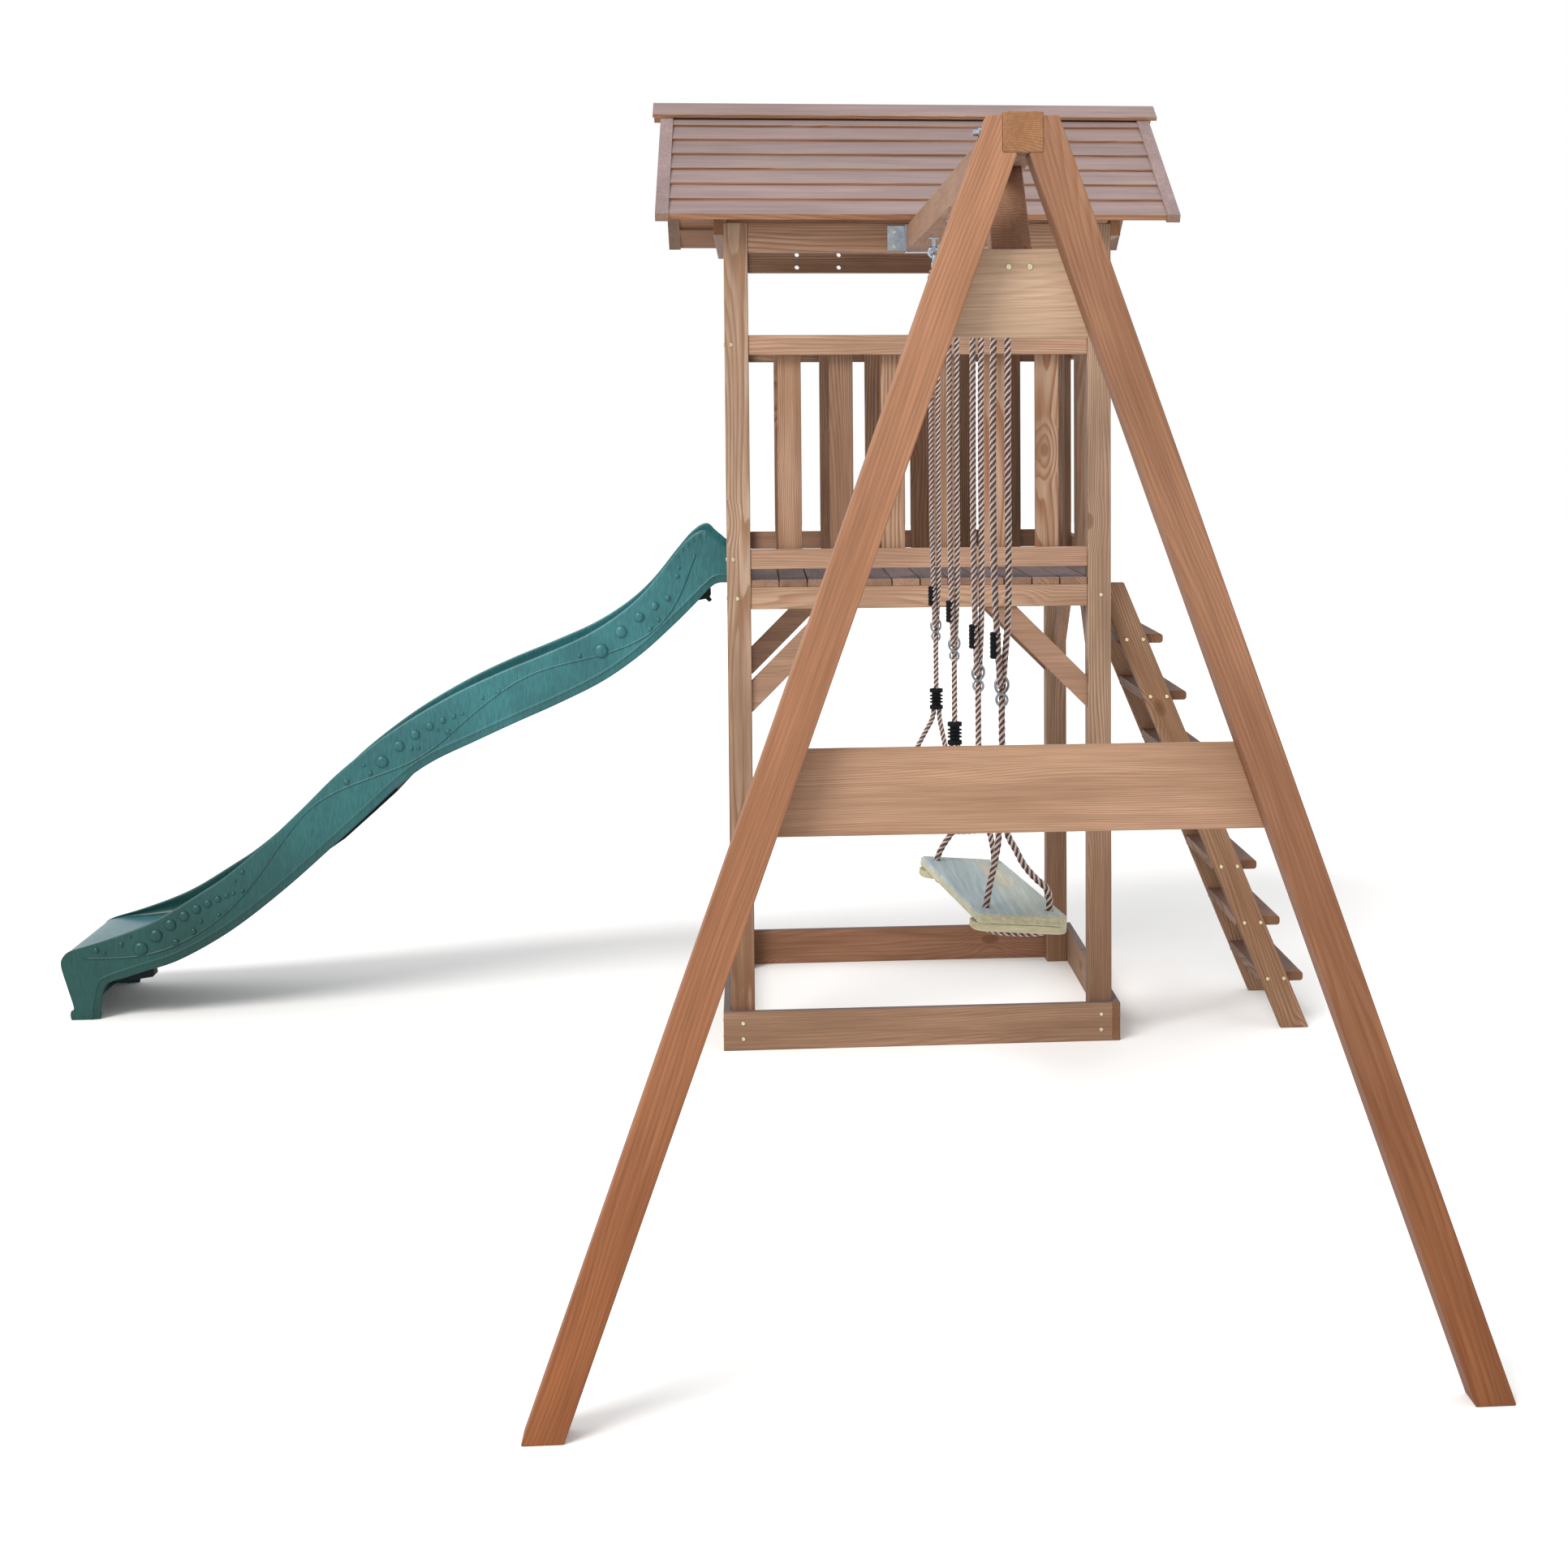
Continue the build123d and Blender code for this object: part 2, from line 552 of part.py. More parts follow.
def rope_tube(points, tight):
    """A round tube along the route, with an arc at each corner as large as its runs allow."""
    vectors = [Vector(*p) for p in points]
    radii = []
    for i in range(1, len(vectors) - 1):
        back, ahead = vectors[i] - vectors[i - 1], vectors[i + 1] - vectors[i]
        turn = radians(back.get_angle(ahead))
        radius = 0.45 * min(back.length, ahead.length) / tan(turn / 2)
        radii.append(min(radius, BIGHT_R) if i in tight else radius)
    path = FilletPolyline(*vectors, radius=radii)
    tube = sweep(Plane(origin=path @ 0, z_dir=path % 0) * Circle(ROPE_R), path)
    section = 3.14159 * ROPE_R**2
    print("rope", round(path.length), "radii", [round(r) for r in radii],
          "volume ratio", round(tube.volume / (section * path.length), 3))
    return tube


def seat_rope_route(place, foot, hook_y, hole_y, legs):
    route = []
    for side, points in zip((-1, 1), legs):
        hole_x = side * SEAT_HOLES[0] / 2
        bored = [(place * Pos(share * hole_x, hole_y, z)).position for share, z in SEAT_ROPE_HOLE]
        x, y = bored[0].X - CENTRE, bored[0].Y - hook_y
        leg = [(share * x + side * out, share * y, foot - drop) for share, out, drop in points]
        leg += [(p.X - CENTRE, p.Y - hook_y, p.Z) for p in bored]
        route += leg if side < 0 else leg[::-1]
    return route


def link():
    """A closed oval link of round wire, standing in the YZ plane with its crown at the pivot."""
    low = LINK_LENGTH - 2 * LINK_R
    r = LINK_R
    path = Wire([
        Line((0, r, -r), (0, r, -r - low)),
        ThreePointArc((0, r, -r - low), (0, 0, -2 * r - low), (0, -r, -r - low)),
        Line((0, -r, -r - low), (0, -r, -r)),
        ThreePointArc((0, -r, -r), (0, 0, 0), (0, r, -r)),
    ])
    ring = sweep(Plane(origin=(0, r, -r), z_dir=(0, 0, -1)) * Circle(LINK_WIRE_R), path)
    nut = Pos(0, r, -r - low / 2) * Cylinder(LINK_WIRE_R + 2, 12)
    return ring + nut


def splitter():
    """A moulded block with two collars and thin ribs, that one rope enters and two leave."""
    body = extrude(Circle(SPLITTER_R - 5), amount=SPLITTER_H)
    for z in (0, SPLITTER_H - SPLITTER_COLLAR):
        body += Pos(0, 0, z) * fillet(extrude(Circle(SPLITTER_R), amount=SPLITTER_COLLAR).edges(), 1.5)
    for i in (1, 2, 3):
        z = SPLITTER_COLLAR + i * (SPLITTER_H - 2 * SPLITTER_COLLAR) / 4 - 1.2
        body += Pos(0, 0, z) * extrude(Circle(SPLITTER_R), amount=2.4)
    return body


def make_swing(name, hooks, roll, ropes):
    middle = sum(hooks) / 2
    plank = fillet(Box(SEAT_W, SEAT_L, SEAT_T).edges().filter_by(Axis.Z), SEAT_CORNER)
    seat = Pos(0, 0, -SEAT_T / 2) * Part(plank.wrapped)
    seat = fillet(seat.faces().sort_by(Axis.Z)[-1].edges() + seat.faces().sort_by(Axis.Z)[0].edges(), 6)
    battens = []
    for side in (-1, 1):
        y = side * ((SEAT_L - BATTEN[1]) / 2 - BATTEN_INSET)
        batten = Pos(0, y, -SEAT_T - BATTEN[2] / 2) * Box(*BATTEN)
        batten = fillet(batten.edges().filter_by(Axis.Z), 24)
        batten = fillet(batten.faces().sort_by(Axis.Z)[0].edges(), 5)
        battens.append(batten)
    for x in (-SEAT_HOLES[0] / 2, SEAT_HOLES[0] / 2):
        for y in (-SEAT_HOLES[1] / 2, SEAT_HOLES[1] / 2):
            drill = Pos(x, y, -SEAT_T) * Cylinder(SEAT_HOLE_R, 100)
            seat -= drill
            battens = [b - drill for b in battens]
    place = Pos(CENTRE, middle, SEAT_TOP) * Rot(0, 0, SEAT_TURN) * Rot(0, roll, 0)
    keep(f"{name}_seat", place * seat)
    keep(f"{name}_seat_battens", *[place * b for b in battens])

    hole_ys = (-SEAT_HOLES[1] / 2, SEAT_HOLES[1] / 2)
    for end, hook_y, hole_y, (foot, drop, spread) in zip("ab", hooks, hole_ys, ropes):
        at = Pos(CENTRE, hook_y, 0)
        keep(f"{name}_links", at * Pos(0, 0, PIVOT_Z) * link())
        keep(f"{name}_rope_splitters", at * Pos(0, 0, foot) * splitter())
        sleeve = fillet(extrude(Circle(SLEEVE_R), amount=SLEEVE_HIGH - SLEEVE_LOW).edges(), 2)
        sleeve -= extrude(Circle(ROPE_R - 0.2), amount=SLEEVE_HIGH - SLEEVE_LOW)
        keep(f"{name}_rope_sleeves", at * Pos(-4 - 6.8 * spread, 0.5, SLEEVE_LOW - drop) * sleeve)
        rings = [Pos(0, 0, z - drop) * Rot(90, 0, 0) * Torus(r, ADJUSTER_WIRE_R) for z, r in ADJUSTER_RINGS]
        keep(f"{name}_rope_adjusters", at * (rings[0] + rings[1]))
        keep(f"{name}_rope_{end}", at * rope_tube(hanging_route(foot, drop, spread), TOP_BIGHT))
        slack = (name, end) == ("near", "a")
        legs = (SEAT_ROPE_LEG, SLACK_LEG if slack else SEAT_ROPE_LEG)
        keep(f"{name}_seat_rope_{end}", at * rope_tube(seat_rope_route(place, foot, hook_y, hole_y, legs), ()))


# ---------------------------------------------------------------- screws
def make_screws():
    def add(at, outward):
        keep("timber_screws", screw(at, outward))

    rail_heights = [JOIST_TOP - JOIST_H / 2] + [low + RAIL_H / 2 for low in RAIL_LOWS]
    half_turn = [(1, 0), (-1, TOWER)]
    for sign, base in half_turn:
        # Base boards: two screws into each post.
        for x in (30, TOWER - 30):
            for z in (30, 70):
                add((base + sign * x, base + sign * -BASE_BOARD_T, z), (0, -sign, 0))
                add((base + sign * (TOWER + BASE_BOARD_T), base + sign * x, z), (sign, 0, 0))
        # Side rails and joists: one screw each through the face of the post.
        for z, inset in zip(rail_heights, (JOIST_T / 2, RAIL_T / 2, RAIL_T / 2)):
            add((base + sign * (REVEAL + inset), base, z), (0, -sign, 0))
            for x, out in ((0, -sign), (TOWER, sign)):
                add((base + sign * x, base + sign * (REVEAL + inset), z), (out, 0, 0))
        add((base + sign * (TOWER - REVEAL - JOIST_T / 2), base, rail_heights[0]), (0, -sign, 0))

    for i in range(TREADS):
        z = TREAD_FIRST + i * TREAD_STEP - TREAD_T / 2
        front = LADDER_FOOT - LADDER_LEAN * z
        for x in (front - 55, front - 12):
            add((x, LADDER_Y[0], z), (0, -1, 0))
            add((x, LADDER_Y[1], z), (0, 1, 0))

    for side in (-1, 1):
        for rise in (-1, 1):
            x = CENTRE + side * HOLE_PITCH[0] / 2
            add((x, REVEAL - SADDLE_T, HOLE_MIDDLE_Z + rise * HOLE_PITCH[1] / 2), (0, -1, 0))
        add((CENTRE + side * 17, -BEAM_OUT + BEAM, 1854), (0, -1, 0))
    back = -BEAM_OUT + BEAM + CROSSBOARD_T
    for low in CROSSBOARD_LOWS.values():
        for z in (low + 35, low + CROSSBOARD_H - 35):
            for sign in (-1, 1):
                x = CENTRE + sign * (CENTRE - leg_edge(z) - BEAM / 2)
                add((x, back, z), (0, 1, 0))
    for y in (640, 805):
        add((35, y, DECK_TOP + SLIDE_BED), (0, 0, 1))


# ---------------------------------------------------------------- assembly
make_posts()
make_base_boards()
make_deck()
make_guards()
make_doorways()
make_knee_braces()
make_top_beams()
make_roof_boards()
make_roof_trim()
make_gables()
make_ladder()
make_slide()
make_swing_frame()
make_saddle()
make_hooks()
for swing_name, swing in SWINGS.items():
    make_swing(swing_name, *swing)
make_screws()

solid_nodes = [group for name, group in nodes.items() if "_rope_a" not in name and "_rope_b" not in name]
boxes = [solid.bounding_box() for group in solid_nodes for solid in group]
origin = (
    (min(b.min.X for b in boxes) + max(b.max.X for b in boxes)) / 2,
    (min(b.min.Y for b in boxes) + max(b.max.Y for b in boxes)) / 2,
    min(b.min.Z for b in boxes),
)
print("shift", [round(-v, 4) for v in origin])

os.makedirs("parts", exist_ok=True)
for name, group in nodes.items():
    moved = [Pos(-origin[0], -origin[1], -origin[2]) * solid for solid in group]
    export_step(moved[0] if len(moved) == 1 else Compound(children=moved), f"parts/{name}.step")
print(len(nodes), "nodes")
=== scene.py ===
"""Looks for the play tower with slide, ladder, roof and two-seat swing frame."""

import math

import bmesh
import bpy
from mathutils import Matrix, Vector


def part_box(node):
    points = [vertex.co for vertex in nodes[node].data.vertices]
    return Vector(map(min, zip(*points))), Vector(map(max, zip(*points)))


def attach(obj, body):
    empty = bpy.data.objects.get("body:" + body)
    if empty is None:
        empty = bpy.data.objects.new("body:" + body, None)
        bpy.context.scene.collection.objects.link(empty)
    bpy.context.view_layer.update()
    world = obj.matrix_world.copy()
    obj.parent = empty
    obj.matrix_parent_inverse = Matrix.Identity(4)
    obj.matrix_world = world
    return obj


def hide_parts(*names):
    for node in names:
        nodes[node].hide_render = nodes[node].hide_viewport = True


MM = 0.001

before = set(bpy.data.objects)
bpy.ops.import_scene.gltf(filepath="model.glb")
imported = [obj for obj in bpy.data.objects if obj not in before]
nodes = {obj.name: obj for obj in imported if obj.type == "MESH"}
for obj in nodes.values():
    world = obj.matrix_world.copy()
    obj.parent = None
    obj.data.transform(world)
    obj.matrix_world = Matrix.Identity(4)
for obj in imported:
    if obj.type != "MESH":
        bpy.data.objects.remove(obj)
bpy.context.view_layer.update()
scene = bpy.context.scene
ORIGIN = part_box("post_near_left")[0]  # the drawing's zero point, in the shared frame


def at(x, y, z):
    """A point of the drawing, in millimetres, as a point of the shared frame."""
    return Vector((ORIGIN.x + x * MM, ORIGIN.y + y * MM, z * MM))


def add(name, data):
    piece = bpy.data.objects.new(name, data)
    scene.collection.objects.link(piece)
    return piece


# ------------------------------------------------------------------ sizes of the drawing, in mm
TOWER, POST = 980, 60
CENTRE = TOWER / 2
INSIDE = TOWER - 2 * POST
BALUSTERS, BALUSTER_W = 6, 60
DECK_BOARDS = 12
ROOF_BOARDS, EAVE_OUT = 7, 58
LEG_LEAN, LADDER_LEAN = 19.74, 22.54       # degrees from upright
SEAT_TOP, SEAT_TURN = 765, 6.3             # the seats hang turned by that many degrees
SEAT_HOLES = (112, 464)                    # hole spacing across and along a seat
# Each swing: its hooks, its seat's lean, and for each hook the foot of its splitter, how much lower
# its adjuster hangs, how far its doubled rope opens, and the lengths of its two ropes in metres.
SWINGS = {
    "near": ((-2070, -1620), 5.3, ((905, 0, 1.0, 1.81, 0.49), (905, 25, 0.6, 1.83, 0.49))),
    "far": ((-1060, -530), 0, ((917, 22, 0.6, 1.81, 0.52), (930, 28, 0.6, 1.81, 0.54))),
}


# ------------------------------------------------------------------ camera
LENS_MM = 57.4
FRAME_SHIFT = (-0.1235, -0.1419)
CAMERA_AT = (62.6, -6337, 1626.4)
CAMERA_TURN, CAMERA_TILT, CAMERA_ROLL = -5.176, -3.453, -0.256


def add_camera():
    data = bpy.data.cameras.new("camera")
    data.lens = LENS_MM
    data.shift_x, data.shift_y = FRAME_SHIFT
    camera = add("camera", data)
    turn = Matrix.Rotation(math.radians(CAMERA_TURN), 4, "Z")
    tilt = Matrix.Rotation(math.radians(90 + CAMERA_TILT), 4, "X")
    roll = Matrix.Rotation(math.radians(CAMERA_ROLL), 4, "Z")
    camera.matrix_world = Matrix.Translation(at(*CAMERA_AT)) @ turn @ tilt @ roll
    scene.camera = camera


add_camera()


# ------------------------------------------------------------------ shader helpers
class Graph:
    """A material's node tree, with short calls for the nodes used here."""

    def __init__(self, name, roughness, metallic=0.0, specular=0.5):
        self.material = bpy.data.materials.new(name)
        self.material.use_nodes = True
        self.tree = self.material.node_tree
        self.shader = self.tree.nodes["Principled BSDF"]
        self.shader.inputs["Roughness"].default_value = roughness
        self.shader.inputs["Metallic"].default_value = metallic
        self.shader.inputs["Specular IOR Level"].default_value = specular

    def node(self, kind, inputs=(), **settings):
        made = self.tree.nodes.new("ShaderNode" + kind)
        for key, value in settings.items():
            setattr(made, key, value)
        for key, value in dict(inputs).items():
            self.feed(made.inputs[key], value)
        return made

    def feed(self, socket, value):
        if isinstance(value, bpy.types.NodeSocket):
            self.tree.links.new(value, socket)
        else:
            socket.default_value = value

    def math(self, operation, a, b=0.0):
        return self.node("Math", {0: a, 1: b}, operation=operation).outputs[0]

    def plus(self, a, b):
        return self.math("ADD", a, b)

    def minus(self, a, b):
        return self.math("SUBTRACT", a, b)

    def times(self, a, b):
        return self.math("MULTIPLY", a, b)

    def mix(self, factor, a, b, blend="MIX"):
        inputs = {0: factor, 6: a, 7: b}
        return self.node("Mix", inputs, data_type="RGBA", blend_type=blend).outputs[2]

    def tint(self, colour, tint):
        return self.mix(1.0, colour, tint, "MULTIPLY")

    def ramp(self, value, low, high, to_low=0.0, to_high=1.0):
        inputs = {"Value": value, "From Min": low, "From Max": high,
                  "To Min": to_low, "To Max": to_high}
        return self.node("MapRange", inputs, interpolation_type="SMOOTHSTEP").outputs[0]

    def vector(self, x, y, z):
        return self.node("CombineXYZ", {0: x, 1: y, 2: z}).outputs[0]

    def split(self, vector):
        return self.node("SeparateXYZ", {0: vector}).outputs

    def turned(self, vector, axis, degrees, centre=(0, 0, 0)):
        inputs = {"Vector": vector, "Center": centre, "Angle": math.radians(degrees)}
        return self.node("VectorRotate", inputs, rotation_type=f"{axis}_AXIS").outputs[0]

    def place(self):
        return self.node("TexCoord").outputs["Object"]

    def facing(self):
        return self.node("NewGeometry").outputs["Normal"]

    def noise(self, vector, scale=1.0, detail=2.0):
        inputs = {"Vector": vector, "Scale": scale, "Detail": detail}
        return self.node("TexNoise", inputs).outputs[0]

    def bump(self, height, strength, distance):
        inputs = {"Height": height, "Strength": strength, "Distance": distance}
        self.feed(self.shader.inputs["Normal"], self.node("Bump", inputs).outputs[0])

    def colour(self, value):
        self.feed(self.shader.inputs["Base Color"], value)


def rgb(colour, gain=1.0):
    return (*(min(1.0, c * gain) for c in colour), 1.0)


# ------------------------------------------------------------------ wood
GAIN = 0.66                                # how much of the colours below the wood reflects
WOOD_SPECULAR = 0.22
END_GRAIN = (0.74, 0.60, 0.46)
PALE_RING, PALE_SHARE = (0.80, 0.67, 0.53), 0.28
LATE_TINT = (0.82, 0.74, 0.66)
GRAIN_AXES = {"x": (0, 1, 2), "y": (1, 0, 2), "z": (2, 0, 1)}
ROW_SEED_STEP = 7.3                        # sets the boards of a second row direction apart
BOARD_SHIFT = 40.0                         # how far apart along the grain two boards are drawn

# Noises of the grain: how fine they are along and across it.
KNOT_CELLS = (5.0, 9.0)
FLOW, WOBBLE = (0.9, 7.0), (6.0, 60.0)
FIBRE, STREAK, BLOTCH = (9.0, 420.0), (3.0, 120.0), (2.2, 13.0)

# Ranges of a noise, a distance or a normal, some with the values that they are turned into.
KNOT_CORE, KNOT_RIM, KNOT_HALO = (0.11, 0.07), (0.15, 0.12), (0.50, 0.10)
RING_DARKENS, RING_ENDS = (0.25, 0.88), (1.0, 0.92)
RINGS_SHOW = (0.32, 0.62, 0.3, 1.0)
BLOTCH_TONE, FIBRE_TONE = (0.3, 0.7, 0.90, 1.10), (0.25, 0.75, 0.88, 1.12)
STREAK_TONE = (0.3, 0.7, 0.92, 1.08)
FACES_UP, SAWN_END = (0.3, 0.7), (0.75, 0.9)
GROUND_SHADE_FROM = 0.05                           # height where the painted ground shade is strongest, in metres

FLOW_BEND, WOBBLE_BEND, KNOT_BEND = 0.085, 0.0016, 0.010     # of the rings, in metres
KNOT_EDGE, KNOT_EDGE_SHARE = (0.12, 0.045, 0.022), 0.55
KNOT_DARK, KNOT_SHARE = 0.6, 0.75
# Faces that look up, weathered grey with a painted sky reflection: how much their rings show, and
# how much lighter these are.
WEATHERED_SHEEN_RINGS, WEATHERED_SHEEN_GAIN = 0.35, 1.3
GRAIN_BUMP, GRAIN_DEPTH, RING_RELIEF = 0.35, 0.0007, -0.6


def wood(name, colour, along, seed, boards=(), lean=0.0, ring_mm=3.4, contrast=0.6, tone=0.10,
         knots=0.16, weather=None, foot=None, ends=END_GRAIN, roughness=0.62):
    """Stained softwood with its grain along an axis.

    boards lists (axis, start, pitch) of rows of boards, each of which gets its own grain and tone.
    weather is the colour of faces that look up, or a function that draws it; as a colour it is a
    weathered grey with a painted sky reflection.
    foot is (height, tint) of a painted shade that darkens the wood towards the ground, and ends is
    the tint of the end grain.
    """
    g = Graph(name, roughness, specular=WOOD_SPECULAR)
    place, facing = g.place(), g.facing()
    high, up = g.split(place)[2], g.split(facing)[2]
    if lean:
        place, facing = g.turned(place, "Y", lean), g.turned(facing, "Y", lean)
    parts = g.split(place)
    u, a, b = (parts[i] for i in GRAIN_AXES[along])
    index = seed
    for i, (axis, start, pitch) in enumerate(boards):
        count = g.math("DIVIDE", g.minus(parts["xyz".index(axis)], start), pitch)
        index = g.plus(g.times(g.math("FLOOR", count), 1.0 + ROW_SEED_STEP * i), index)
    dice = g.node("TexWhiteNoise", {"W": index}, noise_dimensions="1D").outputs["Color"]
    first, second, third = g.split(dice)
    shift = g.times(first, BOARD_SHIFT)

    def stretched(along_grain, across):
        return g.vector(g.plus(g.times(u, along_grain), shift), g.times(a, across),
                        g.times(b, across))

    cell = g.node("TexVoronoi", {"Vector": stretched(*KNOT_CELLS), "Scale": 1.0}).outputs
    chosen = g.math("LESS_THAN", g.split(cell["Color"])[0], knots)
    core, rim, halo = (g.times(g.ramp(cell["Distance"], *reach), chosen)
                       for reach in (KNOT_CORE, KNOT_RIM, KNOT_HALO))

    flow = g.noise(stretched(*FLOW), detail=1.5)
    wobble = g.noise(stretched(*WOBBLE))
    depth = g.plus(g.times(a, second), g.times(b, g.minus(1.0, second)))
    depth = g.plus(depth, g.times(flow, FLOW_BEND))
    depth = g.plus(depth, g.times(wobble, WOBBLE_BEND))
    depth = g.minus(depth, g.times(halo, KNOT_BEND))
    ring = g.math("FRACT", g.math("DIVIDE", depth, ring_mm * MM))
    late = g.times(g.ramp(ring, *RING_DARKENS), g.ramp(ring, *RING_ENDS))
    fibre = g.noise(stretched(*FIBRE), detail=3.0)
    streak = g.noise(stretched(*STREAK))
    blotch = g.noise(stretched(*BLOTCH), detail=3.0)

    light = [c + PALE_SHARE * (pale - c) for c, pale in zip(colour, PALE_RING)]
    dark = [c * tint for c, tint in zip(colour, LATE_TINT)]
    shown = g.mix(g.times(g.ramp(blotch, *RINGS_SHOW), contrast), rgb(colour, GAIN),
                  g.mix(late, rgb(light, GAIN), rgb(dark, GAIN)))
    grey = g.times(g.ramp(blotch, *BLOTCH_TONE), g.ramp(fibre, *FIBRE_TONE))
    grey = g.times(grey, g.ramp(streak, *STREAK_TONE))
    grey = g.times(grey, g.ramp(third, 0.0, 1.0, 1.0 - tone, 1.0 + tone))
    if callable(weather):
        shown = g.mix(g.ramp(up, *FACES_UP), shown, weather(g, late))
    # Faces that look up get a weathered grey with a painted sky reflection.
    elif weather:
        weathered_sheen = g.mix(g.times(late, WEATHERED_SHEEN_RINGS * contrast), rgb(weather, GAIN),
                     rgb(weather, WEATHERED_SHEEN_GAIN * GAIN))
        shown = g.mix(g.ramp(up, *FACES_UP), shown, weathered_sheen)
    # Painted shade: the wood darkens towards the ground.
    if foot:
        ground_shade_high, ground_shade_tint = foot
        lower = g.ramp(high, GROUND_SHADE_FROM, ground_shade_high, 1.0, 0.0)
        shown = g.mix(lower, shown, rgb(ground_shade_tint), "MULTIPLY")
    sawn = g.ramp(g.math("ABSOLUTE", g.split(facing)["xyz".index(along)]), *SAWN_END)
    shown = g.mix(sawn, shown, g.tint(shown, rgb(ends)))
    shown = g.tint(shown, g.vector(grey, grey, grey))
    shown = g.mix(g.times(rim, KNOT_EDGE_SHARE), shown, rgb(KNOT_EDGE))
    shown = g.mix(g.times(core, KNOT_SHARE), shown, rgb([KNOT_DARK * c for c in colour], GAIN))
    g.colour(shown)
    relief = g.plus(g.times(late, RING_RELIEF), g.plus(fibre, streak))
    g.bump(relief, GRAIN_BUMP, GRAIN_DEPTH)
    return g.material


def dress(name, material):
    for slot in nodes[name].material_slots:
        slot.material = material


def timber(names, colour, along, seed, seed_step=0, **looks):
    """Wood for one node, or for several alike whose seeds are a step apart."""
    for i, name in enumerate([names] if isinstance(names, str) else names):
        dress(name, wood(name, colour, along, seed + seed_step * i, **looks))


POST_BROWN = (0.42, 0.252, 0.160)
RAIL_BROWN = (0.43, 0.242, 0.154)
ORANGE_BROWN = (0.43, 0.195, 0.100)
BALUSTER_BROWN = (0.33, 0.168, 0.093)
JOIST_BROWN = (0.46, 0.265, 0.165)
# The deck's second colour is for its tops: weathered grey with a painted sky reflection.
DECK_BROWN, DECK_WEATHERED_SHEEN = (0.30, 0.175, 0.112), (0.270, 0.200, 0.205)
TOP_BEAM_BROWN = (0.39, 0.205, 0.120)
SWING_BEAM_BROWN = (0.40, 0.215, 0.130)
BEAM_BRACE_BROWN = (0.36, 0.165, 0.088)
# The second colour of the roof and verges is for faces that look up: weathered grey with a painted
# sky reflection.
ROOF_EDGE, ROOF_WEATHERED_SHEEN = (0.42, 0.190, 0.095), (0.330, 0.242, 0.232)
VERGE_BROWN, VERGE_WEATHERED_SHEEN = (0.34, 0.2, 0.14), (0.31, 0.225, 0.22)
STRINGER_BROWN = (0.27, 0.130, 0.062)
# The treads' second colour is for their tops: weathered grey with a painted sky reflection.
TREAD_BROWN, TREAD_WEATHERED_SHEEN = (0.24, 0.115, 0.068), (0.19, 0.095, 0.065)
TAN, PALE_TAN = (0.45, 0.252, 0.150), (0.58, 0.40, 0.27)
BASE_TOP = (0.2, 0.14, 0.13)
BASE_BOARDS = [  # name, colour, grain axis, seed
    ("base_board_near", (0.345, 0.190, 0.112), "x", 41.0),
    ("base_board_far", (0.36, 0.165, 0.088), "x", 42.0),
    ("base_board_slide_side", (0.31, 0.165, 0.098), "y", 44.0),
    ("base_board_ladder_side", (0.33, 0.180, 0.108), "y", 45.0),
]
RIGHT_LEG_SHADE = 0.80
# Painted shade towards the ground: how high it reaches, in metres, and its tint.
POST_GROUND_SHADE = (1.35, (0.62, 0.52, 0.44))
LEG_GROUND_SHADE = (1.50, (0.69, 0.50, 0.32))
DECK_ENDS, BEAM_ENDS, PLAIN_ENDS = (0.95, 0.85, 0.80), (0.95, 0.78, 0.55), (1, 1, 1)

# Rows of boards, as axis, start and pitch in metres of the shared frame.
LEFT_RIGHT = ("x", ORIGIN.x, 0.5)
NEAR_FAR, ROOF_SIDES = ("y", ORIGIN.y, 0.5), ("y", ORIGIN.y, 0.49)
JOIST_ROW, DECK_ROW = ("y", ORIGIN.y, 0.2), ("x", ORIGIN.x + POST * MM, INSIDE * MM / DECK_BOARDS)
RAIL_ROW = ("z", 1.1, 0.5)
BALUSTER_GAP = (INSIDE - BALUSTERS * BALUSTER_W) / (BALUSTERS + 1)
BALUSTER_ROW = ("x", ORIGIN.x + (POST + BALUSTER_GAP / 2) * MM, (BALUSTER_W + BALUSTER_GAP) * MM)
SHORT_BALUSTER_ROW = ("y", ORIGIN.y, 0.13)
STRINGER_ROW, TREAD_ROW = ("y", ORIGIN.y, 0.3), ("z", 0.05, 0.15)

timber(("post_near_left", "post_near_right", "post_far_left", "post_far_right"), POST_BROWN, "z",
       3.1, seed_step=5, ring_mm=4.5, contrast=0.95, foot=POST_GROUND_SHADE)
timber("guard_uprights", RAIL_BROWN, "z", 31.0, boards=[LEFT_RIGHT])
for board in BASE_BOARDS:
    timber(*board, contrast=0.28, weather=BASE_TOP)
timber("deck_joists", JOIST_BROWN, "x", 51.0, boards=[JOIST_ROW])
timber("deck_boards", DECK_BROWN, "y", 61.0, weather=DECK_WEATHERED_SHEEN, tone=0.16, ends=DECK_ENDS,
       boards=[DECK_ROW])
timber(("guard_rails_near", "guard_rails_far"), RAIL_BROWN, "x", 71.0, seed_step=3,
       boards=[RAIL_ROW], knots=0.1)
timber("guard_rails_sides", RAIL_BROWN, "y", 77.0, boards=[RAIL_ROW, LEFT_RIGHT])
timber(("balusters_near", "balusters_far"), BALUSTER_BROWN, "z", 81.0, seed_step=9, ring_mm=4.5,
       contrast=0.8, tone=0.15, boards=[BALUSTER_ROW])
timber("balusters_sides", BALUSTER_BROWN, "z", 99.0, ring_mm=4.5, contrast=0.8, tone=0.15,
       boards=[SHORT_BALUSTER_ROW, LEFT_RIGHT])
